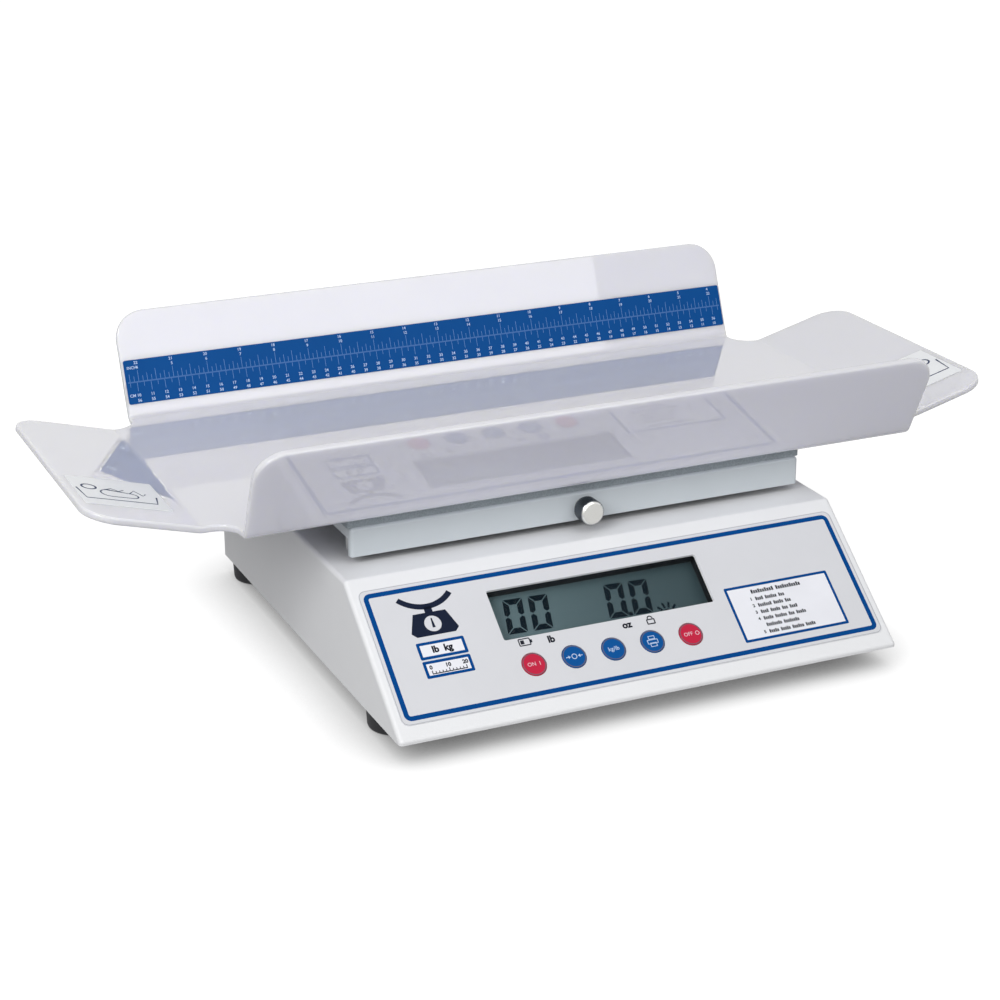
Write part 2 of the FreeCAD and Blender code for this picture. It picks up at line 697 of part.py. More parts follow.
def cover_screws():
    """Low round heads under the base plate, one at each tab."""
    tip = PLATE_TOP + SHEET + 2.0
    screws = []
    for place in tab_places():
        x, y = tab_hole(place)
        screws.append(turned([
            (0, FOOT_HEIGHT - 2.2), (2.6, FOOT_HEIGHT - 2.2), (3.6, FOOT_HEIGHT - 1.0),
            (3.6, FOOT_HEIGHT), (2.0, FOOT_HEIGHT), (2.0, tip), (0, tip),
        ], x, y))
    return gathered(screws)


# --- control panel --------------------------------------------------------------------
def control_overlay():
    """Printed film on the slope, open at the display and round the keys."""
    film = rounded_block(OVERLAY_X, down_slope(OVERLAY_S), (0, OVERLAY), 5.0)
    tools = [rounded_block(WINDOW_X, down_slope(WINDOW_S), (-1, OVERLAY + 1), 1.5)]
    tools += [rod(KEY_HOLE_RADIUS, -1, OVERLAY + 1, x, -KEY_S) for x in KEY_X]
    return on_panel(cut(film, tools))


def key(x):
    """Round key: face, flange under the steel, and the nub that presses the dome."""
    flange_low = -SHEET - KEY_FLANGE
    body = turned([
        (0, flange_low - KEY_NUB), (2.0, flange_low - KEY_NUB), (2.0, flange_low),
        (KEY_FLANGE_RADIUS, flange_low), (KEY_FLANGE_RADIUS, -SHEET), (KEY_RADIUS, -SHEET),
        (KEY_RADIUS, KEY_RISE - 0.3), (KEY_RADIUS - 0.3, KEY_RISE), (0, KEY_RISE),
    ], x, -KEY_S)
    return on_panel(body)


def dome_array():
    """Five snap domes of thin spring steel, one under each key."""
    low = dome_low()
    top = low + DOME_HEIGHT
    profile = [
        (DOME_RADIUS, low), (DOME_RADIUS * 0.7, top - 0.25), (DOME_RADIUS * 0.3, top), (0, top),
        (0, top - DOME_SHEET), (DOME_RADIUS * 0.3, top - DOME_SHEET), (DOME_RADIUS - 0.9, low),
    ]
    return on_panel(gathered([turned(profile, x, -KEY_S) for x in KEY_X]))


def dome_low():
    """Top of the key board, measured from the slope."""
    return -SHEET - KEY_FLANGE - KEY_NUB - DOME_HEIGHT


def key_stud_xs():
    """Studs stand midway between keys and outside the first and last."""
    pitch = KEY_X[1] - KEY_X[0]
    between = [x + pitch / 2 for x in KEY_X[:-1]]
    return [KEY_X[0] - 15.6] + between + [KEY_X[-1] + 15.6]


def key_board():
    x = (KEY_X[0] - 19, KEY_X[-1] + 19)
    z = (dome_low() - BOARD, dome_low())
    board = rounded_block(x, (-KEY_S - 11.7, -KEY_S + 11.7), z, 1.5)
    bore = STUD_THREAD + 0.15
    return on_panel(cut(board, [rod(bore, z[0] - 1, z[1] + 1, stud, -KEY_S) for stud in key_stud_xs()]))


def key_board_studs():
    """Short studs welded to the underside of the slope."""
    studs = []
    for x in key_stud_xs():
        stud = rod(2.1, dome_low(), -SHEET, x, -KEY_S)
        studs.append(stud.cut(rod(STUD_THREAD + 0.05, dome_low() - 1, dome_low() + 2.6, x, -KEY_S)))
    return on_panel(gathered(studs))


def key_board_screws():
    low = dome_low() - BOARD
    profile = [
        (0, low - 1.4), (2.0, low - 1.4), (2.3, low), (STUD_THREAD, low),
        (STUD_THREAD, low + 4), (0, low + 4),
    ]
    return on_panel(gathered([turned(profile, x, -KEY_S) for x in key_stud_xs()]))


def display_lens():
    z = (-SHEET - LENS_THICK, -SHEET)
    return on_panel(rounded_block(grown(WINDOW_X, 4), down_slope(grown(WINDOW_S, 3)), z, 1.0))


def hood_outline():
    return grown(HOOD_X, 9.5), down_slope(grown(HOOD_S, 6.0))


def display_screw_places():
    x, y = hood_outline()
    return corners(grown(x, -3.5), grown(y, -3.5))


def lcd_outline():
    return grown(HOOD_X, 3), down_slope(grown(HOOD_S, 2.6))


def lcd_hood():
    """Black frame that holds the lens above and the liquid-crystal glass below."""
    x, y = hood_outline()
    low = -LCD_DEPTH - LCD_THICK
    frame = rounded_block(x, y, (low, -SHEET), 3.0)
    lens_x, lens_s = grown(WINDOW_X, 4.1), down_slope(grown(WINDOW_S, 3.1))
    lcd_x, lcd_y = lcd_outline()
    tools = [
        block(lens_x, lens_s, (-SHEET - LENS_THICK, 0)),
        block(HOOD_X, down_slope(HOOD_S), (low - 1, 0)),
        block(grown(lcd_x, 0.1), grown(lcd_y, 0.1), (low - 1, -LCD_DEPTH)),
    ]
    tools += [rod(1.5, low - 1, -4.5, *place) for place in display_screw_places()]
    return on_panel(cut(frame, tools))


def lcd_glass():
    x, y = lcd_outline()
    return on_panel(block(x, y, (-LCD_DEPTH - LCD_THICK, -LCD_DEPTH)))


def display_board():
    x, y = hood_outline()
    high = -LCD_DEPTH - LCD_THICK
    board = rounded_block(x, y, (high - BOARD, high), 3.0)
    bores = [rod(1.6, high - 3, high + 1, *place) for place in display_screw_places()]
    return on_panel(cut(board, bores))


def display_screws():
    low = -LCD_DEPTH - LCD_THICK - BOARD
    profile = [(0, low - 1.8), (2.4, low - 1.8), (2.8, low), (1.4, low), (1.4, low + 10), (0, low + 10)]
    return on_panel(gathered([turned(profile, x, y) for x, y in display_screw_places()]))


# --- electronics and power ------------------------------------------------------------
def board_hole_places():
    return corners(grown(BOARD_X, -4), grown(BOARD_Y, -4))


def main_board():
    low = PLATE_TOP + BOARD_STANDOFF
    board = rounded_block(BOARD_X, BOARD_Y, (low, low + BOARD), 2.0)
    return cut(board, [rod(1.7, low - 1, low + 3, x, y) for x, y in board_hole_places()])


def board_parts():
    """Chips, capacitors and headers that stand on the main board."""
    low = PLATE_TOP + BOARD_STANDOFF + BOARD
    left, front = BOARD_X[0], BOARD_Y[0]
    shapes = [
        block((left + 18, left + 32), (front + 62, front + 76), (low, low + 2)),
        block((left + 34, left + 42), (front + 30, front + 48), (low, low + 3)),
        block((left + 8, left + 44), (front + 112, front + 119), (low, low + 8)),
        block((left + 12, left + 30), (front + 10, front + 16), (low, low + 7)),
    ]
    shapes += [rod(4, low, low + 11, left + 14 + 11 * i, front + 96) for i in range(3)]
    return gathered(shapes)


def board_standoffs():
    return gathered([
        hexagon(6, PLATE_TOP, PLATE_TOP + BOARD_STANDOFF, x, y).cut(
            rod(1.5, PLATE_TOP - 1, PLATE_TOP + BOARD_STANDOFF + 1, x, y))
        for x, y in board_hole_places()
    ])


def board_screws():
    top = PLATE_TOP + BOARD_STANDOFF + BOARD
    profile = [(0, top + 1.8), (2.3, top + 1.8), (2.8, top), (1.4, top), (1.4, top - 6), (0, top - 6)]
    return gathered([turned(profile, x, y) for x, y in board_hole_places()])


def battery_box():
    """Moulded box let into the base plate, open below, with rails for its door."""
    top = FOOT_HEIGHT + BATTERY_HEIGHT
    under = FOOT_HEIGHT - BATTERY_FLANGE
    outer = rounded_block(BATTERY_X, BATTERY_Y, (under, top), 2.0)
    flange = rounded_block(grown(BATTERY_X, 5), grown(BATTERY_Y, 4), (under, FOOT_HEIGHT), 2.0)
    rail_low = under - DOOR_THICK - RAIL_LIP
    rails = []
    for side, edge in zip((-1, 1), BATTERY_X):
        web = sorted((edge + side * 2.2, edge + side * 5))
        lip = sorted((edge + side * 0.4, edge + side * 5))
        rails.append(block(web, BATTERY_Y, (rail_low, under)))
        rails.append(block(lip, BATTERY_Y, (rail_low, rail_low + RAIL_LIP - 0.1)))
    solid = joined([outer, flange] + rails)
    inside = block(
        grown(BATTERY_X, -BATTERY_WALL), grown(BATTERY_Y, -BATTERY_WALL), (under - 1, top - BATTERY_WALL)
    )
    return cut(solid, [inside])


def battery_door():
    """Flat door that slides forward in the rails, with finger ridges at its front."""
    top = FOOT_HEIGHT - BATTERY_FLANGE
    low = top - DOOR_THICK
    door = block(grown(BATTERY_X, 2.0), (BATTERY_Y[0] - 2, BATTERY_Y[1]), (low, top))
    first = BATTERY_Y[0] + 4
    grooves = [
        block((-14, 14), (first + 3 * i, first + 3 * i + 1.4), (low - 1, low + 0.7)) for i in range(5)
    ]
    return cut(door, grooves)


def battery_rows():
    """Centre line of each row of cells, as (Y, Z)."""
    inside = grown(BATTERY_Y, -BATTERY_WALL)
    pitch = (inside[1] - inside[0]) / BATTERY_ROWS
    height = FOOT_HEIGHT + BATTERY_HEIGHT - BATTERY_WALL - AA_RADIUS
    return [(inside[0] + pitch * (row + 0.5), height) for row in range(BATTERY_ROWS)]


def battery_cells():
    """Six cells in three rows of two, nose to tail."""
    cells = []
    for y, z in battery_rows():
        for start in (-AA_LENGTH, 0):
            cell = turned([
                (0, 0), (AA_RADIUS - 0.5, 0), (AA_RADIUS, 0.5), (AA_RADIUS, AA_LENGTH - 1.9),
                (AA_RADIUS - 0.8, AA_LENGTH - 1.2), (2.7, AA_LENGTH - 1.2), (2.7, AA_LENGTH),
                (0, AA_LENGTH),
            ])
            cell.rotate(Vec(0, 0, 0), Vec(0, 1, 0), 90)
            cells.append(moved(cell, start, y, z))
    return gathered(cells)


def battery_contacts():
    """Plates on the end walls, with a conical spring at each row's tail end."""
    left = BATTERY_X[0] + BATTERY_WALL
    right = BATTERY_X[1] - BATTERY_WALL
    plate = 0.5
    reach = -AA_LENGTH - left - plate
    shapes = []
    for y, z in battery_rows():
        sides = grown((y, y), 5), grown((z, z), 5)
        shapes.append(block((left, left + plate), *sides))
        shapes.append(block((AA_LENGTH, right), *sides))
        start = Vec(left + plate, y, z)
        cone = Part.makeCone(5.0, 3.2, reach, start, Vec(1, 0, 0))
        shapes.append(cone.cut(Part.makeCone(4.2, 2.4, reach, start, Vec(1, 0, 0))))
    return gathered(shapes)


def power_jack():
    """Round low-voltage inlet with its centre pin, nut side outwards."""
    inner = BACK_Y - SHEET
    collar = rod_back(JACK_RADIUS, inner - 11, BACK_Y + 1.4, JACK_X, PORT_Z)
    shoulder = rod_back(7.5, inner - 3, inner, JACK_X, PORT_Z)
    rim = rod_back(7.0, BACK_Y, BACK_Y + 1.4, JACK_X, PORT_Z)
    body = joined([collar, shoulder, rim])
    body = body.cut(rod_back(3.1, inner - 8, BACK_Y + 2, JACK_X, PORT_Z))
    pin = rod_back(1.0, inner - 9, BACK_Y - 0.5, JACK_X, PORT_Z)
    return body.fuse(pin)


def serial_port():
    """Nine-way D-shaped socket with its flange inside the wall and two hexagon posts."""
    inner = BACK_Y - SHEET
    flange_x = grown((SERIAL_X, SERIAL_X), 15.4)
    flange = block(flange_x, (inner - 1.2, inner), grown((PORT_Z, PORT_Z), 6.2))
    half_top = 8.9
    half_low = 7.6
    half_high = 4.2
    outline = [
        Vec(SERIAL_X - half_low, inner - 8, PORT_Z - half_high),
        Vec(SERIAL_X + half_low, inner - 8, PORT_Z - half_high),
        Vec(SERIAL_X + half_top, inner - 8, PORT_Z + half_high),
        Vec(SERIAL_X - half_top, inner - 8, PORT_Z + half_high),
    ]
    shell = prism(outline, Vec(0, BACK_Y + 5 - inner + 8, 0))
    shell = rounded(shell, 1.6, lambda edge: runs_along(edge, Vec(0, 1, 0)))
    posts = [rod_back(1.7, inner - 1, BACK_Y, SERIAL_X + x, PORT_Z) for x in SERIAL_POSTS]
    nuts = []
    for x in SERIAL_POSTS:
        nut = hexagon(5, 0, 4)
        nut.rotate(Vec(0, 0, 0), Vec(1, 0, 0), -90)
        nuts.append(moved(nut, SERIAL_X + x, BACK_Y, PORT_Z))
    body = joined([flange, shell] + posts + nuts)
    holes = []
    for count, z in ((5, PIN_PITCH / 2), (4, -PIN_PITCH / 2)):
        start = SERIAL_X - PIN_PITCH * (count - 1) / 2
        pins = [start + PIN_PITCH * i for i in range(count)]
        holes += [rod_back(0.6, BACK_Y, BACK_Y + 6, x, PORT_Z + z) for x in pins]
    return cut(body, holes)


# --- all sub-parts ---------------------------------------------------------------------
def sub_parts():
    parts = {
        "tray": tray(),
        "ruler_strip": ruler_strip(),
        "position_label_left": position_label(-1),
        "position_label_right": position_label(1),
        "tray_saddle": tray_saddle(),
        "foam_strip_front": foam_strip(-1),
        "foam_strip_rear": foam_strip(1),
        "platter_plate": platter_plate(),
        "clamp_nut": clamp_nut(),
        "platter_posts": platter_posts(),
        "platter_screws": platter_screws(),
        "post_screws": post_screws(),
        "spider_frame": spider_frame(),
        "knob_washer": knob_washer(),
        "thumb_screw": thumb_screw(),
        "load_cell": load_cell(),
        "load_cell_base_spacer": cell_spacer(-1, PLATE_TOP, CELL_Z),
        "load_cell_top_spacer": cell_spacer(1, CELL_TOP, SPIDER_Z),
        "load_cell_base_screws": load_cell_base_screws(),
        "load_cell_top_screws": load_cell_top_screws(),
        "overload_stops": overload_stops(),
        "housing_cover": housing_cover(),
        "base_plate": base_plate(),
        "cover_screws": cover_screws(),
        "foot_screws": foot_screws(),
        "foot_nuts": foot_nuts(),
        "control_overlay": control_overlay(),
        "display_lens": display_lens(),
        "lcd_hood": lcd_hood(),
        "lcd_glass": lcd_glass(),
        "display_board": display_board(),
        "display_screws": display_screws(),
        "dome_array": dome_array(),
        "key_board": key_board(),
        "key_board_studs": key_board_studs(),
        "key_board_screws": key_board_screws(),
        "main_board": main_board(),
        "board_parts": board_parts(),
        "board_standoffs": board_standoffs(),
        "board_screws": board_screws(),
        "battery_box": battery_box(),
        "battery_door": battery_door(),
        "battery_cells": battery_cells(),
        "battery_contacts": battery_contacts(),
        "power_jack": power_jack(),
        "serial_port": serial_port(),
    }
    feet = ("foot_front_left", "foot_rear_left", "foot_front_right", "foot_rear_right")
    for name, (x, y) in zip(feet, foot_places()):
        parts[name] = foot(x, y)
    for name, x in zip(KEY_NAMES, KEY_X):
        parts[name] = key(x)
    return parts


os.makedirs("parts", exist_ok=True)
for node, shape in sub_parts().items():
    shape.exportStep(f"parts/{node}.step")
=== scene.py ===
"""Looks of a digital baby weighing scale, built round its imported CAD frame.

The frame brings every rigid piece. This script gives each one its material, adds what is
printed on the films, the keys and the display, and sets up floor, light and camera. The
frame is in metres, +Z up, X along the tray, -Y towards the operator. Drawings of print
are in millimetres on the face that carries them.
"""

import json
import math

import bmesh
import bpy
from mathutils import Matrix, Vector

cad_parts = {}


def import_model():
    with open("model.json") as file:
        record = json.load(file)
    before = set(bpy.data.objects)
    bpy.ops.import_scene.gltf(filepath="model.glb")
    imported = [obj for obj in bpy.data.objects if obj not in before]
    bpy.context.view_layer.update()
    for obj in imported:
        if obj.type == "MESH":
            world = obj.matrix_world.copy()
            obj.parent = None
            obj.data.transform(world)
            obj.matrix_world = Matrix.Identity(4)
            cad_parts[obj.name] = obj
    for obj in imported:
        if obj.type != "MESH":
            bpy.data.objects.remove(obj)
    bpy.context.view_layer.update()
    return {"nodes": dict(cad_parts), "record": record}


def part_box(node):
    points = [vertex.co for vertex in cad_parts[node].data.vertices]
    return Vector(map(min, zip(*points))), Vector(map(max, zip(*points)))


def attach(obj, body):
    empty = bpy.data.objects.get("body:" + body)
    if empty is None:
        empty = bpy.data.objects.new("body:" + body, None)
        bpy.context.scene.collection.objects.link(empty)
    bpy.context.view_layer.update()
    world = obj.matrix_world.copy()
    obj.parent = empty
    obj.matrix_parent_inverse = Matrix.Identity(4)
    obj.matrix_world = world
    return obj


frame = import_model()
NODES = frame["nodes"]
MM = 0.001

# --- camera, in the frame's axes -----------------------------------------------------------------
CAMERA_AT = Vector((-0.6366, -1.3587, 0.6498))
CAMERA_AZIMUTH = -24.23
CAMERA_ELEVATION = 20.79
CAMERA_ROLL = -0.12
CAMERA_LENS = 83.73
CAMERA_SENSOR = 36.0

# --- colours, as sRGB values ---------------------------------------------------------------------
FRAME_BLUE = (0, 70, 138)
BOX_BLUE = (4, 70, 138)
NAVY = (26, 34, 54)
PRINT_BLACK = (34, 36, 46)
PAPER_WHITE = (238, 239, 245)
RULER_WHITE = (190, 210, 238)
RULER_TICK = (112, 150, 202)
RULER_RULE = (74, 114, 172)
KEY_PRINT = {"key_red": (232, 196, 206), "key_blue": (190, 208, 234)}
EDGE_GREY = (176, 178, 184)
DIGIT_INK = (4, 20, 30)
RING_GREY = (104, 100, 112)
LABEL_INK = (44, 58, 92)

# --- patterns, as cells or marks for each metre --------------------------------------------------
TURNING_MARKS = 2500
TRACK_CELLS = 260
FOAM_CELLS = 900
TRACK_WIDTH = 0.06          # share of a cell that its copper edge takes
WRAP_BODY = 0.72            # share of a battery's length that is dark

# --- light: place, aim, width and height in metres, watts ----------------------------------------
WORLD_LIGHT = 0.4
LAMPS = {
    "front": ((0.3, -2.0, 2.0), (0.1, 0.0, 0.9), (2.2, 2.3), 24.5),
    "left": ((-1.9, -1.3, 1.6), (0.0, 0.0, 0.1), (1.3, 1.3), 35),
}
FLOOR_REACH = 12.0
FLOOR_COLOUR = 0.3
FLOOR_SEEN = (0.22, 0.95)   # colour and glow for rays from the camera
FLOOR_MIRRORED = 0.45       # glow for rays off gloss and through glass
PAINTED_SHADOW_REACH = 0.05        # how far from the object the painted contact shadow darkens the floor
PAINTED_SHADOW_POWER = 0.75

# --- print on the control panel, from the top left corner of its film ----------------------------
INK = 0.04
BOLD = 0.06                 # share of a letter's height that its outline grows by
FRAME_INSET = 2.7
FRAME_LINE = 3.2
FRAME_CORNER = 4.6
BORDER_INSET = 0.3
BORDER_LINE = 0.35
BORDER_CORNER = 4.7
CAPACITY_X = (25.5, 57.6)
CAPACITY_ROWS = ((-54.6, -42.6), (-67.7, -55.7))
STEPS_X = (242.5, 320.4)
STEPS_Y = (-85.1, -44.0)
CAPACITY_LINE = 2.0
CAPACITY_LETTERS = 4.6
RANGE_RISE = 3.2            # of the range scale above its box's lower edge
RANGE_STEP = 2.3
RANGE_TICKS = (1.2, 2.0)    # short and long
RANGE_NUMBER = 2.7
STEPS_LINE = 1.9
BOX_CORNER = 1.0
SYMBOL_AT = (41.3, -26.1)
BATTERY_AT = (95.9, -55.0)
POUND_AT = (113.4, -56.5)
OUNCE_AT = (166.9, -56.5)
LOCK_AT = (184.0, -56.3)
UNIT_LETTERS = 4.8

KEY_BOLD = 0.01
KEY_RING = (7.15, 7.72)

# --- numbered steps: letters in each word of a row, as blocks that stand for small print ---------
STEPS_HEADING = (10, 11)
STEPS = (("1", (4, 6, 3)), ("2", (7, 5, 3)), ("3", (4, 5, 3, 4)), ("4", (5, 6, 3, 5)), ("", (8, 8)),
         ("5", (5, 5, 6, 5)))
STEPS_MARGIN = 16.4
STEPS_TOP = 5.6                 # from the box's upper edge to the heading
STEPS_PITCH = 4.95
HEADING_GAP = 0.5               # extra space under the heading
HEADING_INDENT = 2.0
STEP_INDENT = 3.2
STEP_NUMBER = 2.2
HEADING_LETTER = (1.7, 2.9)     # pitch and height
STEP_LETTER = (1.45, 2.6)
LETTER_WIDTH = 0.74             # share of its pitch
LOW_LETTER = 0.78               # share of a tall letter's height

# --- display, from the top left corner of its glass ----------------------------------------------
DIGIT_LEFTS = (14.1, 31.8, 85.4, 103.0)
DIGIT_LOW = -31.1
DIGIT_WIDTH = 13.6
DIGIT_HEIGHT = 24.9
DIGIT_SLANT = 3.6
DISPLAY_TURN = -1.6         # degrees: the glass sits a little askew behind its window
SEGMENT = 4.3
SEGMENT_GAP = 0.5
POINT_AT = (100.9, -29.7)
POINT_SIZE = 2.8
SUN_AT = (127.0, -34.6)
SIGN_TOPS = ((10.8, 1.4), (24.1, 1.8))      # beside the sun: how far away and how tall

# --- ruler: marks every inch above its line and every centimetre below ---------------------------
RULER_LINE = 15.4
INCH = 25.4
INCHES = (4, 22)
CENTIMETRES = (10, 56)
RULER_NUMBER = 2.1
RULER_BOLD = 0.02
RULER_TICK_WIDTH = 0.26
INCH_TICKS = {0: 8.2, 2: 5.8, 4: 8.0, 6: 5.8}       # by eighths of an inch
EIGHTH_TICK = 4.0
CENTIMETRE_TICKS = (6.6, 3.4)                       # whole and half
INCH_ROWS = (2.2, 5.6)                              # from the film's upper edge
UPPER_ROW_SHIFT = -0.4
CENTIMETRE_ROWS = (5.9, 2.2)                        # from its lower edge

# --- battery door and thumb screw ----------------------------------------------------------------
DOOR_ARROW = -36            # from the door's front edge
KNURL_SHADE_FROM = (0.6, 1.4)     # how far behind the thumb screw's face its knurls and their painted shade begin

# --- directions that faces look or run -----------------------------------------------------------
SLOPE = Vector((0, -0.6, 0.8))
BACK_FLAP = Vector((0, -0.9, 0.4))
UPWARDS = Vector((0, 0, 1))
ALONG = Vector((1, 0, 0))


# --- faces that carry print ----------------------------------------------------------------------
class Face:
    """Flat face of a CAD node. Places on it are millimetres along right and up."""

    def __init__(self, node, looking, right, corner):
        """looking is roughly where the face points; corner says where its origin lies, as
        shares of its width and height."""
        mesh = NODES[node].data
        seen = [polygon for polygon in mesh.polygons if polygon.normal.dot(looking) > 0.3]
        self.normal = max(seen, key=lambda polygon: polygon.area).normal.copy()
        self.right = (right - self.normal * right.dot(self.normal)).normalized()
        self.up = self.normal.cross(self.right)
        points = [vertex.co for vertex in mesh.vertices]
        spans = []
        for axis in (self.right, self.up):
            reach = [point.dot(axis) for point in points]
            spans.append((min(reach), max(reach)))
        self.width, self.height = [(high - low) / MM for low, high in spans]
        level = max(point.dot(self.normal) for point in points)
        shares = [low + share * (high - low) for (low, high), share in zip(spans, corner)]
        self.origin = self.right * shares[0] + self.up * shares[1] + self.normal * level

    def matrix(self):
        """Turns a drawing in millimetres into the frame's metres."""
        turn = Matrix((self.right, self.up, self.normal)).transposed().to_4x4()
        return Matrix.Translation(self.origin) @ turn @ Matrix.Scale(MM, 4)


# --- outlines, in millimetres --------------------------------------------------------------------
def arc(x, y, radius, start, end, steps=6):
    """Points along a circle between two angles in degrees."""
    turns = [math.radians(start + (end - start) * i / steps) for i in range(steps + 1)]
    return [(x + radius * math.cos(a), y + radius * math.sin(a)) for a in turns]


def circle(x, y, radius, steps=36):
    return arc(x, y, radius, 0, 360, steps)[:-1]


def rectangle(x, y, radius=0.0):
    """Outline between two (low, high) pairs, with rounded corners."""
    if not radius:
        return [(x[0], y[0]), (x[1], y[0]), (x[1], y[1]), (x[0], y[1])]
    left, right = x[0] + radius, x[1] - radius
    low, high = y[0] + radius, y[1] - radius
    return (
        arc(right, low, radius, -90, 0) + arc(right, high, radius, 0, 90)
        + arc(left, high, radius, 90, 180) + arc(left, low, radius, 180, 270)
    )


def inset(pair, by):
    return (pair[0] + by, pair[1] - by)


def frame_of(x, y, line, radius):
    """Outer and inner outline of a rectangular line."""
    inner = max(radius - line, 0.2)
    return [rectangle(x, y, radius), rectangle(inset(x, line), inset(y, line), inner)]


def ring(x, y, inner, outer):
    return [circle(x, y, outer), circle(x, y, inner)]


def stroke(points, width):
    """Outline of an open line of even width through some points."""
    sides = ([], [])
    for i, (x, y) in enumerate(points):
        before = points[max(i - 1, 0)]
        after = points[min(i + 1, len(points) - 1)]
        along = Vector((after[0] - before[0], after[1] - before[1])).normalized()
        across = Vector((-along.y, along.x)) * width / 2
        sides[0].append((x + across.x, y + across.y))
        sides[1].append((x - across.x, y - across.y))
    return sides[0] + sides[1][::-1]


def shifted(outline, x, y, scale=1.0):
    return [(x + px * scale, y + py * scale) for px, py in outline]


# --- print ---------------------------------------------------------------------------------------
class Print:
    """Marks on one face, gathered into one thin closed mesh that rides on a body."""

    def __init__(self, name, face, body, slot, look, layers=1):
        self.name = name
        self.thick = INK * layers
        self.face = face
        self.body = body
        self.slot = slot
        self.look = look
        self.shape = bmesh.new()

    def add(self, curve, place=(0.0, 0.0)):
        curve.extrude = self.thick / 2
        drawing = bpy.data.objects.new("drawing", curve)
        mesh = bpy.data.meshes.new_from_object(drawing)
        mesh.transform(Matrix.Translation((place[0], place[1], self.thick / 2)))
        self.shape.from_mesh(mesh)
        bpy.data.objects.remove(drawing)
        bpy.data.meshes.remove(mesh)
        bpy.data.curves.remove(curve)

    def fill(self, outlines):
        """Filled outlines; one inside another is a hole."""
        curve = bpy.data.curves.new("outline", "CURVE")
        curve.dimensions = "2D"
        curve.fill_mode = "BOTH"
        for outline in outlines:
            spline = curve.splines.new("POLY")
            spline.points.add(len(outline) - 1)
            for point, (x, y) in zip(spline.points, outline):
                point.co = (x, y, 0, 1)
            spline.use_cyclic_u = True
        self.add(curve)

    def write(self, text, place, height, bold=BOLD):
        """Plain capitals and figures of a given height, centred on a place."""
        curve = bpy.data.curves.new("text", "FONT")
        curve.body = text
        curve.size = height / 0.73
        curve.offset = height * bold
        curve.resolution_u = 4
        curve.align_x = "CENTER"
        curve.align_y = "CENTER"
        self.add(curve, place)

    def finish(self):
        bmesh.ops.remove_doubles(self.shape, verts=self.shape.verts, dist=1e-4)
        mesh = bpy.data.meshes.new(self.name)
        self.shape.to_mesh(mesh)
        self.shape.free()
        mesh.transform(self.face.matrix())
        mesh.materials.append(self.look)
        piece = bpy.data.objects.new(self.name, mesh)
        bpy.context.scene.collection.objects.link(piece)
        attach(piece, self.body)
        return piece


# --- materials -----------------------------------------------------------------------------------
def linear(colour):
    """Linear RGBA of an sRGB colour whose channels go up to 255."""
    shares = [channel / 255 for channel in colour]
    return [c / 12.92 if c < 0.04 else ((c + 0.055) / 1.055) ** 2.4 for c in shares] + [1.0]


class Look:
    """A principled material, built up node by node in the object's own coordinates."""

    def __init__(self, name, roughness=0.5, metallic=0.0):
        self.material = bpy.data.materials.new(name)
        self.material.use_nodes = True
        self.tree = self.material.node_tree
        self.shader = self.tree.nodes["Principled BSDF"]
        self.set("Roughness", roughness)
        self.set("Metallic", metallic)
        self.place = self.node("ShaderNodeTexCoord").outputs["Object"]

    def node(self, kind, **settings):
        made = self.tree.nodes.new(kind)
        for key, value in settings.items():
            setattr(made, key, value)
        return made

    def link(self, output, socket):
        self.tree.links.new(output, socket)

    def set(self, socket, value):
        self.shader.inputs[socket].default_value = value

    def math(self, operation, value, number):
        """A value and a number put through one operation."""
        step = self.node("ShaderNodeMath", operation=operation)
        self.link(value, step.inputs[0])
        step.inputs[1].default_value = number
        return step.outputs["Value"]

    def coordinate(self, axis):
        split = self.node("ShaderNodeSeparateXYZ")
        self.link(self.place, split.inputs["Vector"])
        return split.outputs[axis]

    def between(self, axis, start, end, **settings):
        """0 at one place along an axis and 1 at another."""
        span = self.node("ShaderNodeMapRange", **settings)
        self.link(self.coordinate(axis), span.inputs["Value"])
        span.inputs["From Min"].default_value = start
        span.inputs["From Max"].default_value = end
        return span.outputs["Result"]

    def surface(self, factor, first, second):
        """A surface that goes from one shader to another as a factor goes from 0 to 1."""
        mix = self.node("ShaderNodeMixShader")
        self.link(factor, mix.inputs["Fac"])
        self.link(first.outputs["BSDF"], mix.inputs[1])
        self.link(second.outputs["BSDF"], mix.inputs[2])
        self.link(mix.outputs["Shader"], self.tree.nodes["Material Output"].inputs["Surface"])

    def noise(self, size, detail=2.0, stretch=(1.0, 1.0, 1.0)):
        """Noise whose patches are about size metres across, longer where stretched."""
        drawn_out = self.node("ShaderNodeMapping")
        self.link(self.place, drawn_out.inputs["Vector"])
        drawn_out.inputs["Scale"].default_value = [1 / s for s in stretch]
        noise = self.node("ShaderNodeTexNoise")
        self.link(drawn_out.outputs["Vector"], noise.inputs["Vector"])
        noise.inputs["Scale"].default_value = 1 / size
        noise.inputs["Detail"].default_value = detail
        return noise.outputs["Fac"]

    def colour(self, factor, dark, light):
        """Base colour that runs between two colours along a factor."""
        mix = self.node("ShaderNodeMix", data_type="RGBA")
        self.link(factor, mix.inputs["Factor"])
        mix.inputs["A"].default_value = linear(dark)
        mix.inputs["B"].default_value = linear(light)
        self.link(mix.outputs["Result"], self.shader.inputs["Base Color"])

    def vary(self, socket, factor, low, high):
        """A shader value that runs between two values along a factor."""
        span = self.node("ShaderNodeMapRange")
        self.link(factor, span.inputs["Value"])
        span.inputs["To Min"].default_value = low
        span.inputs["To Max"].default_value = high
        self.link(span.outputs["Result"], self.shader.inputs[socket])

    def bump(self, height, depth, strength=1.0):
        """Relief of a depth in metres."""
        bump = self.node("ShaderNodeBump")
        self.link(height, bump.inputs["Height"])
        bump.inputs["Distance"].default_value = depth
        bump.inputs["Strength"].default_value = strength
        self.link(bump.outputs["Normal"], self.shader.inputs["Normal"])


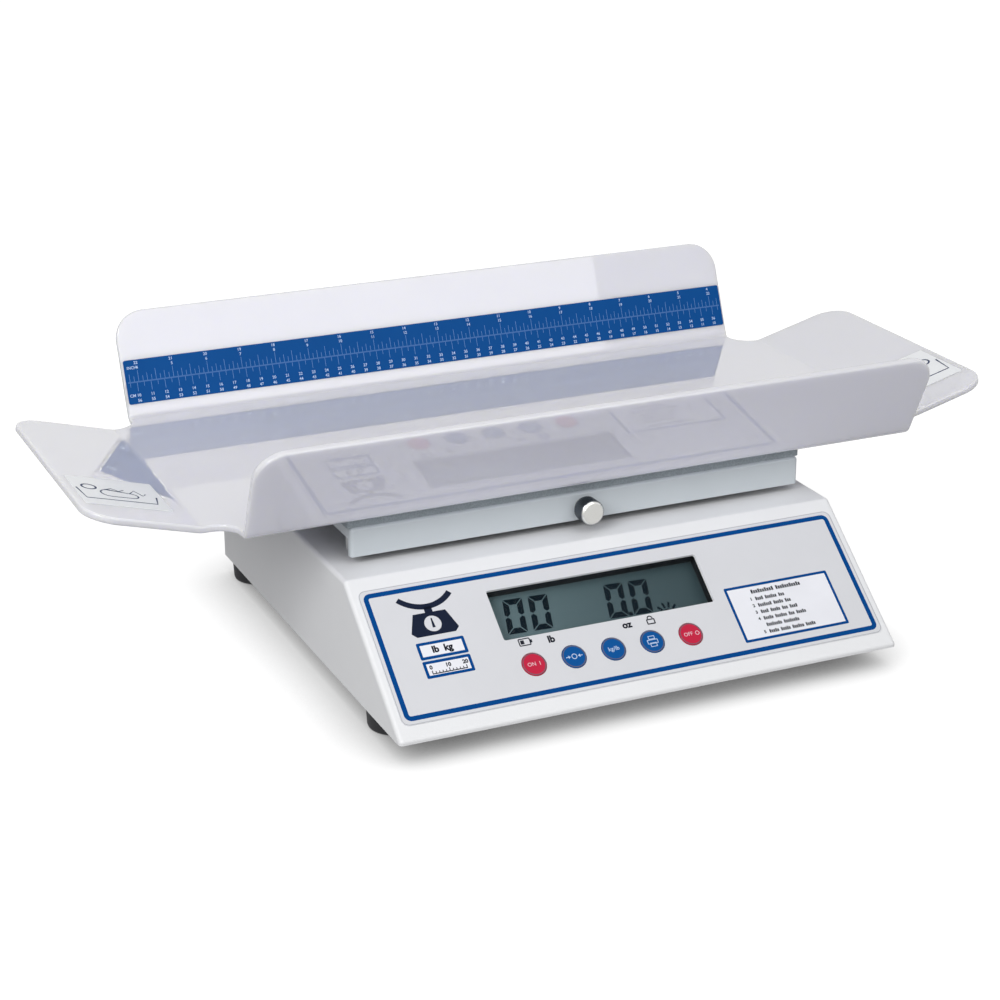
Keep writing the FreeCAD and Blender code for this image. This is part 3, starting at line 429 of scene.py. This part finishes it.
def shade(colour, by):
    """A colour made darker or lighter by a share."""
    return [min(255, channel * (1 + by)) for channel in colour]


def plain(name, colour, roughness, grain=0.0006, depth=0.00002, mottle=0.02, gloss=0.5):
    """Paint, film or moulded plastic with a little grain and an uneven gloss."""
    look = Look(name)
    look.set("Specular IOR Level", gloss)
    look.colour(look.noise(0.03, 3), shade(colour, -mottle), shade(colour, mottle))
    look.vary("Roughness", look.noise(0.008), roughness * 0.85, roughness * 1.15)
    look.bump(look.noise(grain), depth)
    return look.material


def metal(name, colour, roughness, stretch=(1.0, 1.0, 1.0), grain=0.0004, depth=0.00001):
    """Bare or plated metal with fine marks, drawn out where stretched."""
    look = Look(name, metallic=1.0)
    marks = look.noise(grain, 4, stretch)
    look.colour(marks, shade(colour, -0.06), shade(colour, 0.04))
    look.vary("Roughness", look.noise(0.01, 3), roughness * 0.75, roughness * 1.25)
    look.bump(marks, depth)
    return look.material


def tray_plastic():
    """Glossy bent sheet, milky enough to take a little light in."""
    look = Look("tray_plastic")
    look.colour(look.noise(0.12, 2), (223, 223, 236), (228, 228, 241))
    look.vary("Roughness", look.noise(0.02, 3), 0.01, 0.03)
    look.bump(look.noise(0.0012, 2), 0.000001)
    look.set("Coat Weight", 0.8)
    look.set("Coat Roughness", 0.005)
    look.set("Subsurface Weight", 1.0)
    look.set("Subsurface Radius", (0.01, 0.01, 0.012))
    look.set("Subsurface Scale", 1.0)
    return look.material


def distance_from_axis(look, centre, across):
    """Distance from an axis through a centre; across picks the two axes that count."""
    offset = look.node("ShaderNodeVectorMath", operation="SUBTRACT")
    look.link(look.place, offset.inputs[0])
    offset.inputs[1].default_value = centre
    flat = look.node("ShaderNodeVectorMath", operation="MULTIPLY")
    look.link(offset.outputs["Vector"], flat.inputs[0])
    flat.inputs[1].default_value = across
    length = look.node("ShaderNodeVectorMath", operation="LENGTH")
    look.link(flat.outputs["Vector"], length.inputs[0])
    return length.outputs["Value"]


def thumb_screw_steel():
    """Nickel plate: a bright face with turning marks, and behind it the knurled part painted darker as shade.
    """
    look = Look("thumb_screw_steel", metallic=1.0)
    low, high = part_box("thumb_screw")
    start, end = [low.y + depth * MM for depth in KNURL_SHADE_FROM]
    # Painted shade: the plate's colour darkens from the face back over the knurls.
    look.colour(look.between("Y", start, end), (238, 238, 234), (106, 110, 116))
    look.vary("Roughness", look.noise(0.003, 3), 0.16, 0.3)
    wave = look.node("ShaderNodeTexNoise", noise_dimensions="1D")
    look.link(distance_from_axis(look, (low + high) / 2, (1, 0, 1)), wave.inputs["W"])
    wave.inputs["Scale"].default_value = TURNING_MARKS
    look.bump(wave.outputs["Fac"], 0.00002, 0.4)
    return look.material


def lens_clear():
    """Clear sheet: the light goes straight through, with a faint gloss."""
    look = Look("lens_clear", roughness=0.05)
    look.vary("Roughness", look.noise(0.01), 0.03, 0.07)
    clear = look.node("ShaderNodeBsdfTransparent")
    fresnel = look.node("ShaderNodeFresnel")
    fresnel.inputs["IOR"].default_value = 1.1
    gloss = look.node("ShaderNodeBsdfGlossy")
    gloss.inputs["Roughness"].default_value = 0.05
    look.surface(fresnel.outputs["Fac"], clear, gloss)
    return look.material


def lcd():
    """Grey-green reflector behind glass, with painted shade that darkens it towards its right end."""
    look = Look("lcd", roughness=0.35)
    look.set("Specular IOR Level", 0.12)
    low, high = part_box("lcd_glass")
    across = look.between("X", low.x, high.x, interpolation_type="SMOOTHSTEP")
    # Painted shade: the colour runs darker towards the right end.
    look.colour(across, (91, 112, 117), (58, 76, 81))
    look.bump(look.noise(0.0004), 0.000004)
    return look.material


def circuit_board():
    """Green solder mask over a web of copper tracks."""
    look = Look("circuit_board", roughness=0.35)
    cells = look.node("ShaderNodeTexVoronoi", feature="DISTANCE_TO_EDGE", distance="MANHATTAN")
    look.link(look.place, cells.inputs["Vector"])
    cells.inputs["Scale"].default_value = TRACK_CELLS
    away_from_track = look.math("GREATER_THAN", cells.outputs["Distance"], TRACK_WIDTH)
    look.colour(away_from_track, (58, 120, 70), (18, 74, 44))
    look.bump(away_from_track, 0.00004, 0.5)
    return look.material


def foam():
    """Closed-cell foam."""
    look = Look("foam", roughness=0.85)
    cells = look.node("ShaderNodeTexVoronoi")
    look.link(look.place, cells.inputs["Vector"])
    cells.inputs["Scale"].default_value = FOAM_CELLS
    look.colour(cells.outputs["Distance"], (146, 156, 162), (176, 185, 190))
    look.bump(cells.outputs["Distance"], 0.0003, 0.6)
    return look.material


def battery_wrap():
    """Printed sleeve: a dark body with a coppery band at each cell's head."""
    look = Look("battery_wrap", roughness=0.3, metallic=0.3)
    low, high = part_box("battery_cells")
    cell = (high.x - low.x) / 2
    along_row = look.math("SUBTRACT", look.coordinate("X"), low.x)
    along_cell = look.math("MODULO", along_row, cell)
    head = look.math("GREATER_THAN", along_cell, cell * WRAP_BODY)
    look.colour(head, (34, 36, 40), (176, 112, 66))
    look.bump(look.noise(0.002), 0.00001)
    return look.material


def looks():
    """One material for each material slot of the record."""
    return {
        "tray_plastic": tray_plastic(),
        "ruler_film": plain("ruler_film", (12, 76, 142), 0.35, mottle=0.03, gloss=0.05),
        "label_film": plain("label_film", (246, 248, 251), 0.3, gloss=0.3),
        # saddle_paint: grey-blue white, darker than the housing's paint; the darkening is painted shade for
        # the tray's shadow over the saddle.
        "saddle_paint": plain("saddle_paint", (202, 209, 214), 0.42, 0.0016, 0.00004),
        "foam": foam(),
        "plated_steel": metal("plated_steel", (186, 188, 190), 0.38, (1, 6, 1)),
        "fastener_steel": metal("fastener_steel", (168, 168, 166), 0.32),
        "cast_aluminium": metal("cast_aluminium", (176, 178, 180), 0.5, grain=0.0012, depth=0.00008),
        "machined_aluminium": metal("machined_aluminium", (200, 202, 204), 0.28, (10, 1, 1)),
        "thumb_screw_steel": thumb_screw_steel(),
        "washer_steel": metal("washer_steel", (182, 182, 180), 0.3),
        "housing_paint": plain("housing_paint", (235, 236, 238), 0.4, 0.0016, 0.00004, 0.008),
        "foot_rubber": plain("foot_rubber", (30, 30, 34), 0.65, 0.0008, 0.00006, 0.15),
        "overlay_film": plain("overlay_film", (218, 219, 223), 0.32, 0.0005, 0.000012, 0.012, 0.1),
        "lens_clear": lens_clear(),
        "hood_black": plain("hood_black", (22, 24, 28), 0.5, 0.0007, 0.00004, 0.1),
        "lcd": lcd(),
        "circuit_board": circuit_board(),
        "chip_black": plain("chip_black", (34, 34, 36), 0.5, mottle=0.1),
        "spring_steel": metal("spring_steel", (204, 204, 200), 0.22),
        "key_red": plain("key_red", (196, 38, 68), 0.33, 0.0005, 0.00002, 0.03, 0.1),
        "key_blue": plain("key_blue", (2, 82, 152), 0.33, 0.0005, 0.00002, 0.03, 0.1),
        "battery_case": plain("battery_case", (46, 47, 50), 0.5, 0.0007, 0.00005, 0.06),
        "battery_wrap": battery_wrap(),
        "jack_black": plain("jack_black", (26, 26, 28), 0.45, mottle=0.08),
        "port_metal": metal("port_metal", (190, 192, 194), 0.3),
    }


def give_materials():
    """Each CAD node takes the material of its slot in the record."""
    made = looks()
    for part in frame["record"]["subparts"]:
        node = NODES[part["node"]]
        for index in range(len(node.material_slots)):
            node.material_slots[index].material = made[part["material_slot"]]
        for polygon in node.data.polygons:
            polygon.use_smooth = False


def ink(name, colour, roughness=0.4):
    return plain("ink_" + name, colour, roughness, mottle=0.03, gloss=0.05)


# --- panel ---------------------------------------------------------------------------------------
def weighing_symbol(x, y):
    """A wide dish over a rounded body with a round dial: pierced shapes, then solid ones."""
    body = [(-13, -12.6), (13, -12.6), (16, -9.6), (11, 3.6), (-11, 3.6), (-16, -9.6)]
    dish = arc(0, 32.4, 26.4, 224, 316, 20) + arc(0, 32.4, 22.6, 316, 224, 20)
    pointer = [(-1.0, -7.4), (1.0, -7.4), (0.4, -0.6), (-0.4, -0.6)]
    neck = rectangle((x - 2.6, x + 2.6), (y + 3.0, y + 8.0))
    return [shifted(body, x, y), circle(x, y - 4.6, 5.6)], [shifted(pointer, x, y), neck, shifted(dish, x, y)]


def battery_symbol(x, y):
    """Lying cell, half full: its outline, then its knob and charge."""
    case = frame_of((x - 4.6, x + 3.6), (y - 2.7, y + 2.7), 0.7, 0.8)
    knob = rectangle((x + 3.6, x + 4.7), (y - 1.1, y + 1.1))
    charge = rectangle((x - 3.3, x - 0.8), (y - 1.4, y + 1.4))
    return case, [knob, charge]


def lock_symbol(x, y):
    """Closed padlock: its body, then its shackle."""
    body = frame_of((x - 3.0, x + 3.0), (y - 2.9, y + 1.1), 0.8, 0.7)
    return body, [stroke(arc(x, y + 1.3, 1.7, 0, 180, 10), 0.8)]


def border_and_frame(panel):
    width = (0, panel.width)
    height = (-panel.height, 0)
    lines = (
        ("border", EDGE_GREY, BORDER_INSET, BORDER_LINE, BORDER_CORNER),
        ("frame", FRAME_BLUE, FRAME_INSET, FRAME_LINE, FRAME_CORNER),
    )
    for name, colour, gap, line, corner in lines:
        drawn = Print("panel_" + name, panel, "base", "overlay_film", ink(name, colour))
        drawn.fill(frame_of(inset(width, gap), inset(height, gap), line, corner))
        drawn.finish()


def panel_boxes(panel):
    """White boxes with blue outlines: two rows at the left and one box at the right."""
    boxes = [(CAPACITY_X, row, CAPACITY_LINE) for row in CAPACITY_ROWS]
    boxes.append((STEPS_X, STEPS_Y, STEPS_LINE))
    ground = Print("panel_box_ground", panel, "base", "overlay_film", ink("ground", PAPER_WHITE))
    lines = Print("panel_box_lines", panel, "base", "overlay_film", ink("box", BOX_BLUE))
    for x, y, line in boxes:
        ground.fill([rectangle(inset(x, line), inset(y, line), 0.3)])
        lines.fill(frame_of(x, y, line, BOX_CORNER))
    ground.finish()
    lines.finish()


def greeked_line(marks, x, y, words, letter):
    """A row of small print, every letter a block; each word is a count of letters."""
    pitch, height = letter
    for count in words:
        for i in range(count):
            tall = height * (1.0 if i % 3 == 0 else LOW_LETTER)
            left = x + pitch * i
            foot = y - height / 2
            marks.fill([rectangle((left, left + pitch * LETTER_WIDTH), (foot, foot + tall))])
        x += pitch * (count + 1)


def range_scale(marks):
    """Units in the upper box at the left, and a scale with three numbers in the lower one."""
    middle = sum(CAPACITY_X) / 2
    marks.write("lb  kg", (middle, sum(CAPACITY_ROWS[0]) / 2), CAPACITY_LETTERS)
    low = CAPACITY_ROWS[1][0] + RANGE_RISE
    half = 5 * RANGE_STEP + 0.3
    marks.fill([rectangle((middle - half, middle + half), (low - 0.7, low))])
    for i in range(11):
        x = middle + RANGE_STEP * (i - 5)
        long = i % 5 == 0
        marks.fill([rectangle((x - 0.28, x + 0.28), (low, low + RANGE_TICKS[long]))])
        if long:
            marks.write(str(2 * i), (x, low + 4.1), RANGE_NUMBER)


def numbered_steps(marks):
    """Greeked heading and numbered rows in the box at the right."""
    left = STEPS_X[0] + STEPS_MARGIN
    line = STEPS_Y[1] - STEPS_TOP
    greeked_line(marks, left + HEADING_INDENT, line, STEPS_HEADING, HEADING_LETTER)
    line -= HEADING_GAP
    for number, words in STEPS:
        line -= STEPS_PITCH
        if number:
            marks.write(number, (left, line), STEP_NUMBER)
        greeked_line(marks, left + STEP_INDENT, line, words, STEP_LETTER)


def panel_marks(panel):
    """Small dark print: signs under the display, the range scale and the numbered steps."""
    marks = Print("panel_marks", panel, "base", "overlay_film", ink("marks", PRINT_BLACK), 2)
    for pierced, solid in (battery_symbol(*BATTERY_AT), lock_symbol(*LOCK_AT)):
        marks.fill(pierced)
        for outline in solid:
            marks.fill([outline])
    marks.write("lb", POUND_AT, UNIT_LETTERS)
    marks.write("oz", OUNCE_AT, UNIT_LETTERS)
    range_scale(marks)
    numbered_steps(marks)
    marks.finish()


def panel_symbol(panel):
    symbol = Print("panel_symbol", panel, "base", "overlay_film", ink("symbol", NAVY))
    pierced, solid = weighing_symbol(*SYMBOL_AT)
    symbol.fill(pierced)
    for outline in solid:
        symbol.fill([outline])
    symbol.finish()


# --- keys ----------------------------------------------------------------------------------------
def on_mark(marks):
    marks.write("ON", (-1.7, 0), 2.7, KEY_BOLD)
    marks.fill([rectangle((3.7, 4.15), (-1.35, 1.35))])


def off_mark(marks):
    marks.write("OFF", (-1.8, 0), 2.7, KEY_BOLD)
    marks.fill(ring(4.6, 0, 1.05, 1.5))


def zero_mark(marks):
    """Two arrows that point at a nought."""
    marks.fill(ring(0, 0, 1.4, 1.95))
    for side in (-1, 1):
        marks.fill([[(side * 2.5, 0), (side * 4.1, 1.2), (side * 4.1, -1.2)]])
        marks.fill([rectangle(sorted((side * 4.0, side * 5.8)), (-0.27, 0.27))])


def units_mark(marks):
    marks.write("kg/lb", (0, 0), 3.0, KEY_BOLD)


def print_mark(marks):
    """A printer with a sheet above and below."""
    marks.fill(frame_of((-3.8, 3.8), (-1.8, 1.4), 0.5, 0.6))
    marks.fill(frame_of((-2.3, 2.3), (1.5, 4.0), 0.45, 0.2))
    marks.fill(frame_of((-2.3, 2.3), (-3.9, -0.9), 0.45, 0.2))


KEY_MARKS = {
    "key_on": on_mark,
    "key_zero": zero_mark,
    "key_units": units_mark,
    "key_print": print_mark,
    "key_off": off_mark,
}


def mark_keys():
    pale = {slot: ink(slot, colour) for slot, colour in KEY_PRINT.items()}
    grey = ink("ring", RING_GREY)
    for key, draw in KEY_MARKS.items():
        slot = "key_red" if key in ("key_on", "key_off") else "key_blue"
        face = Face(key, SLOPE, ALONG, (0.5, 0.5))
        marks = Print(key + "_mark", face, key, slot, pale[slot])
        draw(marks)
        marks.finish()
        edge = Print(key + "_ring", face, key, slot, grey)
        edge.fill(ring(0, 0, *KEY_RING))
        edge.finish()


# --- display -------------------------------------------------------------------------------------
def segment_outlines():
    """Six bars of a nought in an upright box, their ends cut slantwise."""
    width, height, bar, gap = DIGIT_WIDTH, DIGIT_HEIGHT, SEGMENT, SEGMENT_GAP / 2
    half = height / 2
    top = [
        (gap * 2, height), (width - gap * 2, height),
        (width - bar - gap, height - bar + gap), (bar + gap, height - bar + gap),
    ]
    upper_left = [
        (0, height - gap * 2), (bar - gap, height - bar - gap),
        (bar - gap, half + bar / 2), (bar / 2 - gap, half + gap), (0, half + bar / 3),
    ]
    upper_right = [(width - x, y) for x, y in upper_left]
    lower = [[(x, height - y) for x, y in shape] for shape in (top, upper_left, upper_right)]
    return [top, upper_left, upper_right] + lower


def slanted(outline, left):
    lean = DIGIT_SLANT / DIGIT_HEIGHT
    return [(left + x + y * lean, DIGIT_LOW + y) for x, y in outline]


def turned(outline):
    """Outline turned with the display about the foot of its first digit."""
    a = math.radians(DISPLAY_TURN)
    x0, y0 = DIGIT_LEFTS[0], DIGIT_LOW
    return [
        (x0 + (x - x0) * math.cos(a) - (y - y0) * math.sin(a),
         y0 + (x - x0) * math.sin(a) + (y - y0) * math.cos(a))
        for x, y in outline
    ]


def half_sun(marks, x, y):
    """Half a ring with rays, and the tops of two signs that the window's lower edge cuts off."""
    marks.fill([turned(arc(x, y, 4.3, 0, 180, 12) + arc(x, y, 2.6, 180, 0, 12))])
    for turn in range(15, 180, 30):
        a = math.radians(turn)
        ends = [(x + reach * math.cos(a), y + reach * math.sin(a)) for reach in (5.2, 9.2)]
        marks.fill([turned(stroke(ends, 1.5))])
    for ahead, rise in SIGN_TOPS:
        marks.fill([turned(rectangle((x + ahead - 1.3, x + ahead + 1.3), (y - 1.0, y + rise)))])


def display_marks():
    glass = Face("lcd_glass", SLOPE, ALONG, (0, 1))
    digits = Print("lcd_segments", glass, "base", "lcd", ink("digit", DIGIT_INK, 0.3))
    for left in DIGIT_LEFTS:
        for outline in segment_outlines():
            digits.fill([turned(slanted(outline, left))])
    x, y = POINT_AT
    half = POINT_SIZE / 2
    digits.fill([turned(rectangle((x - half, x + half), (y - half, y + half)))])
    half_sun(digits, *SUN_AT)
    digits.finish()


# --- ruler ---------------------------------------------------------------------------------------
def mark_ruler():
    """Inches above the line and centimetres below, each numbered from both ends."""
    face = Face("ruler_strip", BACK_FLAP, ALONG, (0.5, 0))
    rule = Print("ruler_rule", face, "tray_unit", "ruler_film", ink("rule", RULER_RULE))
    ticks = Print("ruler_ticks", face, "tray_unit", "ruler_film", ink("tick", RULER_TICK))
    numbers = Print("ruler_numbers", face, "tray_unit", "ruler_film", ink("ruler", RULER_WHITE))
    half = face.width / 2
    rule.fill([rectangle((-half + 1.5, half - 1.5), (RULER_LINE - 0.45, RULER_LINE + 0.45))])

    def tick(x, length):
        """Thin bar from the line; a negative length hangs below it."""
        y = sorted((RULER_LINE + math.copysign(0.5, length), RULER_LINE + length))
        ticks.fill([rectangle((x - RULER_TICK_WIDTH / 2, x + RULER_TICK_WIDTH / 2), y)])

    def number(text, x, y):
        numbers.write(text, (x, y), RULER_NUMBER, RULER_BOLD)

    middle = sum(INCHES) / 2
    for eighth in range(8 * INCHES[0] - 2, 8 * INCHES[1] + 3):
        x = (eighth / 8 - middle) * INCH
        tick(x, INCH_TICKS.get(eighth % 8, EIGHTH_TICK))
    for inch in range(INCHES[0], INCHES[1] + 1):
        x = (inch - middle) * INCH
        number(str(sum(INCHES) - inch), x + UPPER_ROW_SHIFT, face.height - INCH_ROWS[0])
        number(str(inch), x, face.height - INCH_ROWS[1])
    middle = sum(CENTIMETRES) / 2
    for step in range(2 * CENTIMETRES[0] - 1, 2 * CENTIMETRES[1] + 2):
        tick((step / 2 - middle) * 10, -CENTIMETRE_TICKS[step % 2])
    for centimetre in range(CENTIMETRES[0], CENTIMETRES[1] + 1):
        x = (centimetre - middle) * 10
        number(str(centimetre), x, CENTIMETRE_ROWS[0])
        number(str(sum(CENTIMETRES) - centimetre), x, CENTIMETRE_ROWS[1])
    number("INCH", -half + 5.6, face.height - INCH_ROWS[1])
    number("CM", -half + 3.6, CENTIMETRE_ROWS[0])
    rule.finish()
    ticks.finish()
    numbers.finish()


# --- labels on the end flaps ---------------------------------------------------------------------
def lying_child(marks, side):
    """A child on its back in a dish, head outwards: head, body, arms, bent legs, dish."""
    line = 1.0
    body = arc(-5.5, -2.0, 6.5, 90, 270, 10) + arc(7.5, -4.0, 4.5, -90, 90, 10)
    arms = [(-8, 4.2), (-3, 7.6), (1, 3.4), (5, 6.4)]
    legs = [(7.5, 0.6), (12, 7.4), (16, -1.5), (18.5, 2.5)]
    dish = [(-26.5, 4), (-24.5, -15.5), (21.5, -15.5), (24.5, -2)]
    marks.fill(ring(side * 17.5, 7.5, 3.9, 5.3))
    for points, width in ((body + body[:1], line), (arms, line), (legs, line), (dish, 1.2 * line)):
        marks.fill([stroke([(-side * x, y) for x, y in points], width)])


def mark_labels():
    look = ink("label", LABEL_INK)
    for side, name in ((-1, "left"), (1, "right")):
        face = Face("position_label_" + name, UPWARDS, ALONG, (0.5, 0.5))
        marks = Print("label_drawing_" + name, face, "tray_unit", "label_film", look)
        lying_child(marks, side)
        marks.finish()


# --- battery door --------------------------------------------------------------------------------
def mark_door():
    """Raised arrow on the door's underside that points the way it slides out."""
    face = Face("battery_door", -UPWARDS, ALONG, (0.5, 1))
    look = plain("moulded_arrow", (70, 71, 75), 0.45)
    arrow = Print("battery_door_arrow", face, "battery_door", "battery_case", look, 4)
    arrow.fill([shifted([(-5, 0), (5, 0), (0, 8)], 0, DOOR_ARROW)])
    arrow.finish()


# --- stage ---------------------------------------------------------------------------------------
def camera():
    azimuth = math.radians(CAMERA_AZIMUTH)
    elevation = math.radians(CAMERA_ELEVATION)
    level = math.cos(elevation)
    back = Vector((math.sin(azimuth) * level, -math.cos(azimuth) * level, math.sin(elevation)))
    right = Vector((math.cos(azimuth), math.sin(azimuth), 0))
    turn = Matrix.Rotation(math.radians(CAMERA_ROLL), 3, back)
    right = turn @ right
    up = back.cross(right)
    data = bpy.data.cameras.new("camera")
    data.lens = CAMERA_LENS
    data.sensor_width = CAMERA_SENSOR
    data.clip_end = 100.0
    seen = bpy.data.objects.new("camera", data)
    seen.matrix_world = Matrix.Translation(CAMERA_AT) @ Matrix((right, up, back)).transposed().to_4x4()
    bpy.context.scene.collection.objects.link(seen)
    bpy.context.scene.camera = seen


def area_light(name, at, towards, size, watts):
    data = bpy.data.lights.new(name, "AREA")
    data.shape = "RECTANGLE"
    data.size, data.size_y = size
    data.energy = watts
    lamp = bpy.data.objects.new(name, data)
    lamp.location = at
    lamp.rotation_mode = "QUATERNION"
    lamp.rotation_quaternion = (Vector(towards) - Vector(at)).to_track_quat("-Z", "Y")
    bpy.context.scene.collection.objects.link(lamp)


def larger(tree, first, second):
    """The larger of two values."""
    node = tree.nodes.new("ShaderNodeMath")
    node.operation = "MAXIMUM"
    tree.links.new(first, node.inputs[0])
    tree.links.new(second, node.inputs[1])
    return node.outputs["Value"]


def mirrored_light(tree, path):
    """1 for rays off gloss and through glass."""
    return larger(tree, path["Is Glossy Ray"], path["Is Transmission Ray"])


def world():
    """Pale even light, seen as plain white."""
    made = bpy.data.worlds.new("studio")
    made.use_nodes = True
    tree = made.node_tree
    background = tree.nodes["Background"]
    background.inputs["Color"].default_value = (1, 1, 1, 1)
    path = tree.nodes.new("ShaderNodeLightPath").outputs
    shown = larger(tree, path["Is Camera Ray"], mirrored_light(tree, path))
    span = tree.nodes.new("ShaderNodeMapRange")
    span.inputs["To Min"].default_value = WORLD_LIGHT
    span.inputs["To Max"].default_value = 1.0
    tree.links.new(shown, span.inputs["Value"])
    tree.links.new(span.outputs["Result"], background.inputs["Strength"])
    bpy.context.scene.world = made


def floor_look():
    """Pale floor, clear from below; seen from the camera it glows, darkened near the object by a painted
    contact shadow, with a smaller share of the lamps' real shadow.
    """
    look = Look("floor", roughness=0.9)
    look.set("Specular IOR Level", 0.0)
    look.set("Emission Color", (1, 1, 1, 1))
    path = look.node("ShaderNodeLightPath").outputs
    # Painted contact shadow: ambient occlusion darkens the floor's colour and glow near the object.
    near = look.node("ShaderNodeAmbientOcclusion")
    near.inputs["Distance"].default_value = PAINTED_SHADOW_REACH
    painted_contact_shadow = look.math("POWER", near.outputs["AO"], PAINTED_SHADOW_POWER)
    seen_colour, seen_glow = FLOOR_SEEN
    colour = look.node("ShaderNodeMapRange")
    look.link(path["Is Camera Ray"], colour.inputs["Value"])
    colour.inputs["To Min"].default_value = FLOOR_COLOUR
    look.link(look.math("MULTIPLY", painted_contact_shadow, seen_colour), colour.inputs["To Max"])
    look.link(colour.outputs["Result"], look.shader.inputs["Base Color"])
    mirrored = look.math("MULTIPLY", mirrored_light(look.tree, path), FLOOR_MIRRORED)
    glow = look.node("ShaderNodeMapRange")
    look.link(path["Is Camera Ray"], glow.inputs["Value"])
    look.link(mirrored, glow.inputs["To Min"])
    look.link(look.math("MULTIPLY", painted_contact_shadow, seen_glow), glow.inputs["To Max"])
    look.link(glow.outputs["Result"], look.shader.inputs["Emission Strength"])
    from_below = look.node("ShaderNodeNewGeometry").outputs["Backfacing"]
    look.surface(from_below, look.shader, look.node("ShaderNodeBsdfTransparent"))
    return look.material


def floor():
    mesh = bpy.data.meshes.new("floor")
    reach = FLOOR_REACH
    corners = [(-reach, -reach, 0), (reach, -reach, 0), (reach, reach, 0), (-reach, reach, 0)]
    mesh.from_pydata(corners, [], [(0, 1, 2, 3)])
    mesh.materials.append(floor_look())
    piece = bpy.data.objects.new("floor", mesh)
    bpy.context.scene.collection.objects.link(piece)


def lights():
    """Two soft lamps: one wide in front, one from the left in front of the tray's end."""
    for name, (at, towards, size, watts) in LAMPS.items():
        area_light(name, at, towards, size, watts)


# --- everything ----------------------------------------------------------------------------------
camera()
world()
floor()
lights()
give_materials()

panel = Face("control_overlay", SLOPE, ALONG, (0, 1))
border_and_frame(panel)
panel_boxes(panel)
panel_marks(panel)
panel_symbol(panel)
mark_keys()
display_marks()
mark_ruler()
mark_labels()
mark_door()

bpy.context.scene.view_settings.view_transform = "Standard"
